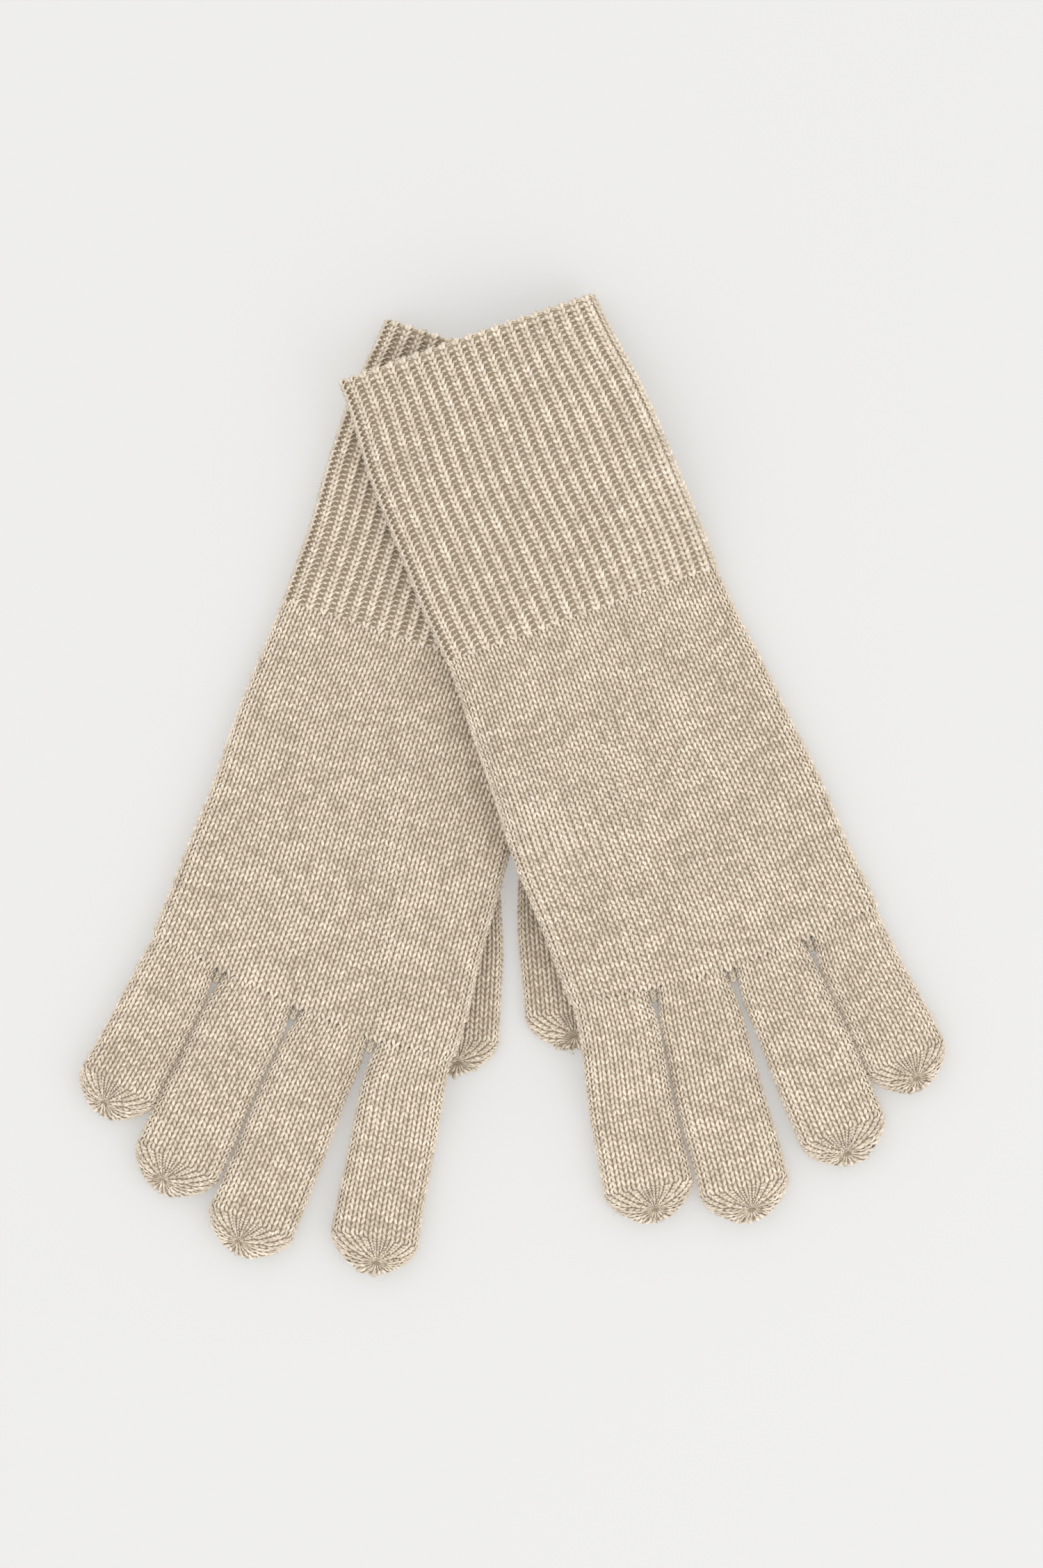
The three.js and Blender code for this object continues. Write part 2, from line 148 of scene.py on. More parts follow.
def quaternions(x: Array, y: Array, z: Array) -> Array:
    """Returns the w, x, y, z rotation that takes the axes to the given unit rows."""
    m = np.stack([x, y, z], axis=-1)
    trace = [m[:, 0, 0], m[:, 1, 1], m[:, 2, 2]]
    q = np.empty((len(x), 4))
    q[:, 0] = 1 + trace[0] + trace[1] + trace[2]
    q[:, 1] = 1 + trace[0] - trace[1] - trace[2]
    q[:, 2] = 1 - trace[0] + trace[1] - trace[2]
    q[:, 3] = 1 - trace[0] - trace[1] + trace[2]
    q = np.sqrt(np.maximum(q, 0)) / 2
    best = np.argmax(q, axis=1)
    mixed = {
        0: (1, m[:, 2, 1] - m[:, 1, 2], m[:, 0, 2] - m[:, 2, 0], m[:, 1, 0] - m[:, 0, 1]),
        1: (m[:, 2, 1] - m[:, 1, 2], 1, m[:, 1, 0] + m[:, 0, 1], m[:, 0, 2] + m[:, 2, 0]),
        2: (m[:, 0, 2] - m[:, 2, 0], m[:, 1, 0] + m[:, 0, 1], 1, m[:, 2, 1] + m[:, 1, 2]),
        3: (m[:, 1, 0] - m[:, 0, 1], m[:, 0, 2] + m[:, 2, 0], m[:, 2, 1] + m[:, 1, 2], 1),
    }
    out = np.empty_like(q)
    for lead, parts in mixed.items():
        rows = best == lead
        top = q[rows, lead]
        for k, part in enumerate(parts):
            out[rows, k] = top if k == lead else part[rows] / (4 * top)
    return out


def rolled(q: Array, angle: float) -> Array:
    """Returns rotations turned further about their own y axis, by an angle in radians."""
    c, s = math.cos(angle / 2), math.sin(angle / 2)
    w, x, y, z = q.T
    return np.stack([w * c - y * s, x * c - z * s, y * c + w * s, z * c + x * s], axis=1)


# ---------------------------------------------------------------- the gloves' shape


@dataclass(frozen=True)
class HandSizes:
    """The plain-knit palm and back, lying flat."""

    thickness: float = 8.4
    wall: float = 1.7
    length: float = 110.0
    curve: float = 0.85
    knuckle_width: float = 94.0


@dataclass(frozen=True)
class CuffSizes:
    """The ribbed cuff, lying flat, and its cast-on edge."""

    thickness: float = 9.2
    wall: float = 2.1
    length: float = 87.0
    mouth_width: float = 78.0
    width: float = 83.0
    flare: float = 30.0
    welt: float = 3.6
    welt_wall: float = 2.35


@dataclass(frozen=True)
class DigitSizes:
    """A finger or thumb: its tube and its gathered end."""

    width: float
    length: float
    thickness: float = 8.4
    wall: float = 1.7
    root_width: float = 21.0
    swell_by: float = 55.0
    tip: float = 11.0


@dataclass(frozen=True)
class LiftSizes:
    """How the knit rises over the tucked thumb."""

    height: float = 5.6
    palm_ramp: float = 4.5
    back_ramp: float = 46.0
    shoulder: float = 3.5
    side: float = 14.0
    end: float = 22.0
    settle: float = 18.0
    rounding: float = 4.0
    drape: float = 36.0


@dataclass(frozen=True)
class Pose:
    """How a glove lies, in degrees."""

    heading: float
    skew: float
    thumb: float
    splay: tuple[float, float, float, float]


@dataclass(frozen=True)
class Digit:
    """Where a finger or thumb starts and points, in the glove's across and along, and its sizes."""

    name: str
    root: Array
    ahead: Array
    beside: Array
    sizes: DigitSizes

    def half_width(self, ahead: Array) -> Array:
        """Returns half of the tube's width at a distance from its root."""
        return lerp(self.sizes.root_width, self.sizes.width, smooth(ahead / self.sizes.swell_by)) / 2


@dataclass
class GloveForm:
    """The shape that one glove's knit follows, as the frame's bodies have it."""

    side: Side
    pose: Pose
    rests_on: "GloveForm | None" = None
    hand: HandSizes = field(default_factory=HandSizes)
    cuff: CuffSizes = field(default_factory=CuffSizes)
    lift: LiftSizes = field(default_factory=LiftSizes)
    finger_sizes: tuple[tuple[float, float], ...] = ((24.0, 67.0), (23.5, 73.0), (23.8, 66.0), (22.7, 54.0))
    finger_swell: float = 1.06
    crotch_gap: float = 1.8
    thumb_sizes: DigitSizes = DigitSizes(26.6, 64.5, 5.0, 1.6, 21.0, 32.25)
    thumb_above: float = 53.0
    thumb_inset: float = 13.2
    ripple: float = 0.32
    sway: float = 0.55

    def __post_init__(self) -> None:
        """Works out the glove's axes and where its fingers and thumb start."""
        h = math.radians(self.pose.heading)
        sign = self.side.value
        self.along_world = np.array([sign * math.sin(h), -math.cos(h)])
        self.across_world = np.array([sign * math.cos(h), math.sin(h)])
        self.start = np.zeros(2)
        self.slope = math.tan(math.radians(self.pose.skew))
        self.knuckles = self._lay_out_knuckles()
        self.fingers = [self._finger(i) for i in range(len(FINGER_NAMES))]
        above = self.cuff.length + self.thumb_above
        root = np.array([self.thumb_inset - self.hand_half_width(above), above])
        self.thumb = self._digit("thumb", root, self.pose.thumb, self.thumb_sizes)

    @property
    def name(self) -> str:
        """The glove's name as its bodies spell it."""
        return self.side.name.lower()

    def _lay_out_knuckles(self) -> Array:
        """Returns the ends of the finger roots, each link square to its own finger."""
        widths = [width for width, _ in self.finger_sizes]
        across = np.concatenate([[0.0], np.cumsum(widths)]) - self.hand.knuckle_width / 2
        drops = [math.tan(math.radians(a)) * w for a, w in zip(self.pose.splay, widths)]
        middle = FINGER_NAMES.index("ring")
        heights = [0.0] * len(across)
        heights[middle] = self.cuff.length + self.hand.length
        for i in range(middle, len(widths)):
            heights[i + 1] = heights[i] - drops[i]
        for i in reversed(range(middle)):
            heights[i] = heights[i + 1] + drops[i]
        return np.stack([across, np.array(heights)], axis=1)

    def _digit(self, name: str, root: Array, splay: float, sizes: DigitSizes) -> Digit:
        """Returns a finger or thumb that leans by splay degrees towards the little finger's side."""
        lean = math.radians(splay)
        ahead = np.array([math.sin(lean), math.cos(lean)])
        beside = np.array([math.cos(lean), -math.sin(lean)])
        return Digit(name, root, ahead, beside, sizes)

    def _finger(self, i: int) -> Digit:
        """Returns finger number i, whose root is the link between two knuckles."""
        width, length = self.finger_sizes[i]
        link = float(np.linalg.norm(self.knuckles[i + 1] - self.knuckles[i]))
        sizes = DigitSizes(width * self.finger_swell, length, root_width=link - self.crotch_gap)
        root = (self.knuckles[i] + self.knuckles[i + 1]) / 2
        return self._digit(FINGER_NAMES[i], root, self.pose.splay[i], sizes)

    def cuff_half_width(self, along: Array) -> Array:
        """Returns half of the cuff's width at a distance from its mouth."""
        return lerp(self.cuff.mouth_width, self.cuff.width, smooth(along / self.cuff.flare)) / 2

    def hand_half_width(self, along: Array) -> Array:
        """Returns half of the hand's width, which grows from the rib to the knuckles."""
        t = np.clip((along - self.cuff.length) / self.hand.length, 0, 1)
        return lerp(self.cuff.width, self.hand.knuckle_width, t**self.hand.curve) / 2

    def course(self, along: float) -> Line:
        """Returns the line of one course across the glove, by its fraction across."""
        return lambda fraction: along + fraction * self.cuff.width * self.slope / 2

    def knuckle_line(self, fraction: Array) -> Array:
        """Returns the along of the finger roots at a fraction across."""
        across = fraction * self.hand.knuckle_width / 2
        inside = np.interp(across, self.knuckles[:, 0], self.knuckles[:, 1])
        return inside - JOIN_GAP

    def place(self, own: Array, world: Array) -> None:
        """Moves the glove so that a point of its own frame comes to a point on the surface."""
        self.start = np.zeros(2)
        self.start = np.asarray(world) - self.flat(own[0], own[1])

    def flat(self, across: Array, along: Array) -> Array:
        """Returns the point on the surface under a point of the glove."""
        across, along = np.asarray(across, float), np.asarray(along, float)
        return self.start + across[..., None] * self.across_world + along[..., None] * self.along_world

    def thumb_lift(self, across: Array, along: Array, ramp: float) -> Array:
        """Returns how far the thumb under the knit raises it, rising over ramp before its root."""
        d = np.stack([across, along], axis=-1) - self.thumb.root
        ahead = d @ self.thumb.ahead
        beside = d @ self.thumb.beside - self.thumb.sizes.width / 2 - self.lift.shoulder
        rise = smooth((ahead + ramp) / ramp)
        fall = (1 - smooth(beside / self.lift.side)) * (
            1 - smooth((ahead - self.thumb.sizes.length) / self.lift.end)
        )
        return self.lift.height * rise * fall

    def top_under(self, world: Array) -> Array:
        """Returns the height at which another glove rests on this one, fading out past its edge."""
        d = world - self.start
        across, along = d @ self.across_world, d @ self.along_world
        half = np.where(along < self.cuff.length, self.cuff_half_width(along), self.hand_half_width(along))
        end = self.cuff.length + self.hand.length
        past = np.maximum.reduce([np.abs(across) - half, -along, along - end, np.zeros_like(along)])
        top = self.cuff.thickness + self.thumb_lift(across, along, self.lift.back_ramp)
        return (top + REST_GAP) * (1 - smooth(past / self.lift.drape))

    def under(self, across: Array, along: Array) -> Array:
        """Returns how far the glove under this one holds it up."""
        if self.rests_on is None:
            return np.zeros_like(across)
        return self.rests_on.top_under(self.flat(across, along))

    def under_thumb(self, across: Array, along: Array) -> Array:
        """Returns what is left of that where the thumb has come down from the palm."""
        ahead = (np.stack([across, along], axis=-1) - self.thumb.root) @ self.thumb.ahead
        return self.under(across, along) * (1 - smooth(ahead / self.lift.settle))

    def ground(self, across: Array, along: Array, ramp: float) -> Array:
        """Returns the height of what the knit lies on: the table, the thumb or the other glove."""
        power = self.lift.rounding
        over = self.thumb_lift(across, along, ramp) * (1 + self.under_thumb(across, along) / self.lift.height)
        return (over**power + self.under(across, along) ** power) ** (1 / power)

    def to_world(self, across: Array, along: Array, up: Array, thickness: float) -> Array:
        """Returns points of the cuff, hand or fingers in the pair's frame."""
        back = smooth((up / thickness - 0.25) * 2)
        ground = lerp(
            self.ground(across, along, self.lift.palm_ramp),
            self.ground(across, along, self.lift.back_ramp),
            back,
        )
        flat = self.flat(across, along)
        flat = flat + self.drift(across, along)[..., None] * self.across_world
        return np.concatenate([flat, (up + ground + back * self.waves(flat))[..., None]], axis=-1)

    def thumb_to_world(self, across: Array, along: Array, up: Array) -> Array:
        """Returns points of the thumb, which comes down from the palm to the surface."""
        height = up + self.under_thumb(across, along)
        return np.concatenate([self.flat(across, along), height[..., None]], axis=-1)

    def drift(self, across: Array, along: Array) -> Array:
        """Returns how far the wales wander sideways."""
        phase = 1.7 * self.side.value
        slow = np.sin(along / 13.5 + across / 31.0 + phase)
        quick = np.sin(along / 6.1 - across / 17.0 + 2.0 * phase)
        return self.sway * (0.7 * slow + 0.3 * quick)

    def waves(self, flat: Array) -> Array:
        """Returns the slight unevenness of knit that has been laid down by hand."""
        x, y = flat[..., 0], flat[..., 1]
        long_wave = np.sin(x / 13.0 + 1.3 * np.sin(y / 21.0)) * np.sin(y / 17.0 + 0.8 * np.sin(x / 19.0))
        short_wave = np.sin(x / 5.3 + y / 9.1) * np.sin(y / 6.7 - x / 11.0)
        return self.ripple * (long_wave + 0.35 * short_wave - 0.4)


# ---------------------------------------------------------------- the surfaces that are knitted


@dataclass
class Surface:
    """A knitted surface: u runs along its wales, s round its courses, and lift stands off it."""

    form: GloveForm

    def point(self, u: Array, s: Array, lift: Array) -> Array:
        """Returns points in the pair's frame, in millimetres."""
        raise NotImplementedError

    def frames(self, u: Array, s: Array, lift: Array, du: float, ds: float, heading: int) -> dict[str, Array]:
        """Works out how stitches sit on the surface.

        Args:
            u: along the wales, for each stitch.
            s: round the course.
            lift: height above the surface.
            du: one course, in u.
            ds: one wale, in s.
            heading: 1 where u runs towards the fingertips, and -1 where it runs away from them.

        Returns:
            Positions, rotations, and sizes as wale and course in millimetres.
        """
        step_u, step_s = 0.1 * du, 0.1 * ds
        along = self.point(u + step_u, s, lift) - self.point(u - step_u, s, lift)
        round_ = self.point(u, np.mod(s + step_s, 1), lift) - self.point(u, np.mod(s - step_s, 1), lift)
        proud = self.point(u, s, lift + 0.1) - self.point(u, s, lift - 0.1)
        out = unit(np.cross(along, round_))
        out *= np.sign(np.sum(out * proud, axis=1, keepdims=True))
        y = unit(along) * heading
        x = np.cross(y, out)
        wale = np.linalg.norm(round_, axis=1) * 5
        course = np.linalg.norm(along, axis=1) * 5
        return {
            "place": self.point(u, s, lift),
            "turn": quaternions(x, y, out),
            "size": np.stack([wale, course, np.ones_like(wale)], axis=1),
        }


@dataclass
class Sleeve(Surface):
    """A tube along the hand, from one line across the glove (u = 0) to another (u = 1)."""

    first: Line
    last: Line
    half_width: Line
    thickness: float

    def point(self, u: Array, s: Array, lift: Array) -> Array:
        """Returns points in the pair's frame, in millimetres."""
        half = self.half_width(lerp(self.first(np.zeros(1)), self.last(np.zeros(1)), u))
        across, up = stadium(s, half, np.full_like(half, self.thickness / 2), lift)
        fraction = across / half
        along = lerp(self.first(fraction), self.last(fraction), u)
        return self.form.to_world(across, along, up + self.thickness / 2, self.thickness)


@dataclass
class Lip(Surface):
    """The cuff's mouth: the outside, a half-round edge, and back up the inside, with u in millimetres."""

    base: Sleeve
    length: float
    wall: float

    @property
    def run(self) -> float:
        """The distance from the outer end over the edge to the inner end."""
        return 2 * (self.length - self.wall / 2) + math.pi * self.wall / 2

    def point(self, u: Array, s: Array, lift: Array) -> Array:
        """Returns points in the pair's frame, in millimetres."""
        radius = self.wall / 2
        straight = self.length - radius
        turn = np.clip((u - straight) / radius, 0, math.pi)
        inner = np.maximum(u - straight - math.pi * radius, 0)
        along = np.where(u < straight, self.length - u, radius + inner) - (radius + lift) * np.sin(turn)
        height = (radius + lift) * np.cos(turn) - radius
        return self.base.point(along / self.length, s, height)


@dataclass
class Tube(Surface):
    """A finger or thumb, with u in millimetres from its root."""

    digit: Digit
    swell: float = 1.2
    swell_to: float = 12.0
    settle: float = 48.0

    def half(self, u: Array) -> tuple[Array, Array]:
        """Works out the digit's width, which swells towards the fingers beside it until they touch.

        Args:
            u: distance from the root.

        Returns:
            Half of the width, and how far its middle moves across.
        """
        half = self.digit.half_width(u)
        if self.digit.name == "thumb":
            return half, np.zeros_like(half)
        extra = self.swell * (smooth(u / self.swell_to) - 0.5 * smooth(u / self.settle))
        toward = {FINGER_NAMES[0]: 1, FINGER_NAMES[-1]: -1}.get(self.digit.name, 0)
        return half + extra * (1 - abs(toward) / 2), extra * toward / 2

    def point(self, u: Array, s: Array, lift: Array) -> Array:
        """Returns points in the pair's frame, in millimetres."""
        half, shift = self.half(u)
        across, up = stadium(s, half, np.full_like(half, self.digit.sizes.thickness / 2), lift)
        return self.stand(u, across + shift, up)

    def stand(self, ahead: Array, across: Array, up: Array) -> Array:
        """Returns where a point of the digit's section is, up being from the section's middle."""
        digit = self.digit
        own = digit.root + ahead[..., None] * digit.ahead + across[..., None] * digit.beside
        height = up + digit.sizes.thickness / 2
        if digit.name == "thumb":
            return self.form.thumb_to_world(own[..., 0], own[..., 1], height)
        return self.form.to_world(own[..., 0], own[..., 1], height, digit.sizes.thickness)


@dataclass
class Dome(Tube):
    """A gathered end: u = 0 is the tube's last course, and u = 1 the pucker on its upper face."""

    pucker: float = 52.0
    aside: float = 0.0
    narrowing: float = 0.3
    pucker_depth: float = 1.3
    crease_depth: float = 1.3
    crease_width: float = 1.1
    pucker_from: float = 0.7
    crease_from: float = 0.35
    fold_from: float = 0.3
    folds: int = 9
    fold_depth: float = 0.6

    def point(self, u: Array, s: Array, lift: Array) -> Array:
        """Returns points in the pair's frame, in millimetres."""
        sizes = self.digit.sizes
        start = sizes.length - sizes.tip
        half, shift = self.half(np.full_like(u, start))
        deep = np.full_like(half, sizes.thickness / 2)
        ratio = np.clip(stadium(s, half, deep, np.zeros_like(u))[0] / half, -1, 1)
        rim = np.stack([ratio, np.zeros_like(u), np.sqrt(1 - ratio**2) * np.where(s > 0.5, -1, 1)], axis=-1)
        tilt = math.radians(self.pucker)
        pole = unit(np.array([self.aside, math.cos(tilt), math.sin(tilt)]))
        angle = np.arccos(np.clip(rim @ pole, -1, 1))
        near, far = np.sin((1 - u) * angle), np.sin(u * angle)
        d = unit(near[..., None] * rim + far[..., None] * pole)
        spread = np.hypot(d[..., 0], d[..., 2])
        across_ratio = np.clip(d[..., 0] / np.maximum(spread, 1e-6), -1, 1)
        level = half - deep
        over = np.maximum(np.abs(across_ratio) * half - level, 0)
        height = np.sqrt(np.maximum(deep**2 - over**2, 0)) * (1 - (1 - spread) ** 2)
        across = d[..., 0] * (half + lift) * (1 - self.narrowing * d[..., 1] ** 2)
        pucker = self.pucker_depth * smooth((u - self.pucker_from) / (1 - self.pucker_from))
        past = smooth((d[..., 1] - self.crease_from) / 0.3)
        crease = self.crease_depth * past * np.exp(-((across / self.crease_width) ** 2))
        turn = 2 * math.pi * s
        pleats = 0.5 + 0.5 * np.cos(self.folds * turn + 1.9 * np.sin(2 * turn + self.digit.sizes.length))
        fold = self.fold_depth * smooth((u - self.fold_from) / 0.5) * pleats
        inward = smooth(d[..., 2] / 0.4)
        drawn_in = inward * np.maximum(np.maximum(pucker, crease), fold)
        up = np.sign(d[..., 2]) * height * (1 + lift / deep) - drawn_in
        ahead = start + (sizes.tip + lift) * d[..., 1]
        return self.stand(ahead, across + shift, up)


@dataclass
class Fillet(Surface):
    """The narrow upright wall of stitches between two fingers, with u in millimetres."""

    root: Array
    ahead: Array
    beside: Array
    half_width: float
    drop: float

    def point(self, u: Array, s: Array, lift: Array) -> Array:
        """Returns points in the pair's frame, in millimetres."""
        thickness = self.form.hand.thickness
        half = np.full_like(u, self.half_width)
        across, up = stadium(s, half, np.full_like(u, thickness / 2 - self.drop), lift)
        own = self.root + u[..., None] * self.ahead + across[..., None] * self.beside
        return self.form.to_world(own[..., 0], own[..., 1], up + thickness / 2, thickness)


# ---------------------------------------------------------------- node trees


@dataclass
class Wiring:
    """A node tree that is being wired up, of geometry or shader nodes."""

    tree: bpy.types.NodeTree

    def add(self, kind: str, inputs: dict[Any, Any] | None = None, **settings: Any) -> bpy.types.Node:
        """Adds a node.

        Args:
            kind: the node's type.
            inputs: what goes into its sockets, by name or number: a socket to link, or a value.
            settings: the node's own settings.

        Returns:
            The node.
        """
        node = self.tree.nodes.new(kind)
        for key, value in settings.items():
            setattr(node, key, value)
        for key, value in (inputs or {}).items():
            for one in value if isinstance(value, list) else [value]:
                if isinstance(one, bpy.types.NodeSocket):
                    self.tree.links.new(one, node.inputs[key])
                else:
                    node.inputs[key].default_value = one
        return node

    def math(self, operation: str, a: Any, b: Any = 0.0, c: Any = 0.0) -> bpy.types.NodeSocket:
        """Returns the result of one sum."""
        return self.add("ShaderNodeMath", {0: a, 1: b, 2: c}, operation=operation).outputs[0]

    def vector(self, x: Any, y: Any, z: Any) -> bpy.types.NodeSocket:
        """Returns a vector made from three numbers."""
        return self.add("ShaderNodeCombineXYZ", {0: x, 1: y, 2: z}).outputs[0]

    def scaled(self, vector: Any, by: Any) -> bpy.types.NodeSocket:
        """Returns a vector multiplied by another, part by part."""
        return self.add("ShaderNodeVectorMath", {0: vector, 1: by}, operation="MULTIPLY").outputs[0]

    def attribute(self, name: str, kind: str) -> bpy.types.NodeSocket:
        """Returns a named attribute in a geometry tree."""
        node = self.add("GeometryNodeInputNamedAttribute", {"Name": name}, data_type=kind)
        return next(s for s in node.outputs if s.enabled and s.name == "Attribute")

    def random(self, low: Any, high: Any, seed: Any) -> bpy.types.NodeSocket:
        """Returns a random number for each point."""
        node = self.add("FunctionNodeRandomValue", data_type="FLOAT")
        low_socket, high_socket = [s for s in node.inputs if s.enabled and s.name in ("Min", "Max")]
        for socket, value in ((low_socket, low), (high_socket, high), (node.inputs["Seed"], seed)):
            if isinstance(value, bpy.types.NodeSocket):
                self.tree.links.new(value, socket)
            else:
                socket.default_value = value
        return next(s for s in node.outputs if s.enabled)


YARN_BELLY = 0.34
STREAK_PER_COURSE = 0.83
CLOUD_STREAKS = 0.42
CLOUD_PER_COURSE = 0.14
PURL_BUMP = ((-0.52, -0.18, -0.42), (0.0, 0.42, 0.5), (0.52, -0.18, -0.42))
PURL_PLUMPNESS = 1.3
HAIR_BEND = ((0.0, 0.0, 0.0), (0.14, 0.45, 0.3), (-0.1, 1.0, 0.28))


def stray_hairs(w: Wiring, given: Any, points: bpy.types.NodeSocket) -> bpy.types.NodeSocket:
    """Puts a fine hair on some of the stitches, for the yarn's soft halo.

    Args:
        w: the tree that is being wired up.
        given: its inputs.
        points: the stitches' points.

    Returns:
        The hairs, as instances that each turn and lean their own way.
    """
    start, middle, end = HAIR_BEND
    bend = w.add(
        "GeometryNodeCurveQuadraticBezier", {"Resolution": 2, "Start": start, "Middle": middle, "End": end}
    ).outputs[0]
    outline = {"Resolution": 3, "Radius": given["Hair Thickness"]}
    ring = w.add("GeometryNodeCurvePrimitiveCircle", outline).outputs[0]
    hair = w.add("GeometryNodeCurveToMesh", {"Curve": bend, "Profile Curve": ring}).outputs[0]
    seed = given["Seed"]
    spin = w.random(0.0, 2 * math.pi, w.math("ADD", seed, 4.0))
    lean = w.random(-0.1, 0.35, w.math("ADD", seed, 5.0))
    turned = w.add(
        "FunctionNodeRotateRotation",
        {
            "Rotation": w.attribute("turn", "QUATERNION"),
            "Rotate By": w.add("FunctionNodeEulerToRotation", {0: w.vector(lean, 0.0, spin)}).outputs[0],
        },
        rotation_space="LOCAL",
    ).outputs[0]
    length = w.math("MULTIPLY", given["Hair Length"], w.random(0.5, 1.1, w.math("ADD", seed, 6.0)))
    height = w.add("ShaderNodeSeparateXYZ", {0: w.add("GeometryNodeInputPosition").outputs[0]}).outputs["Z"]
    clear = w.math("GREATER_THAN", height, given["Hair Above"])
    drawn = w.math("LESS_THAN", w.random(0.0, 1.0, w.math("ADD", seed, 3.0)), given["Hair Share"])
    chosen = w.math("MULTIPLY", clear, drawn)
    return w.add(
        "GeometryNodeInstanceOnPoints",
        {
            "Points": points,
            "Selection": chosen,
            "Instance": hair,
            "Rotation": turned,
            "Scale": w.vector(length, length, length),
        },
    ).outputs[0]


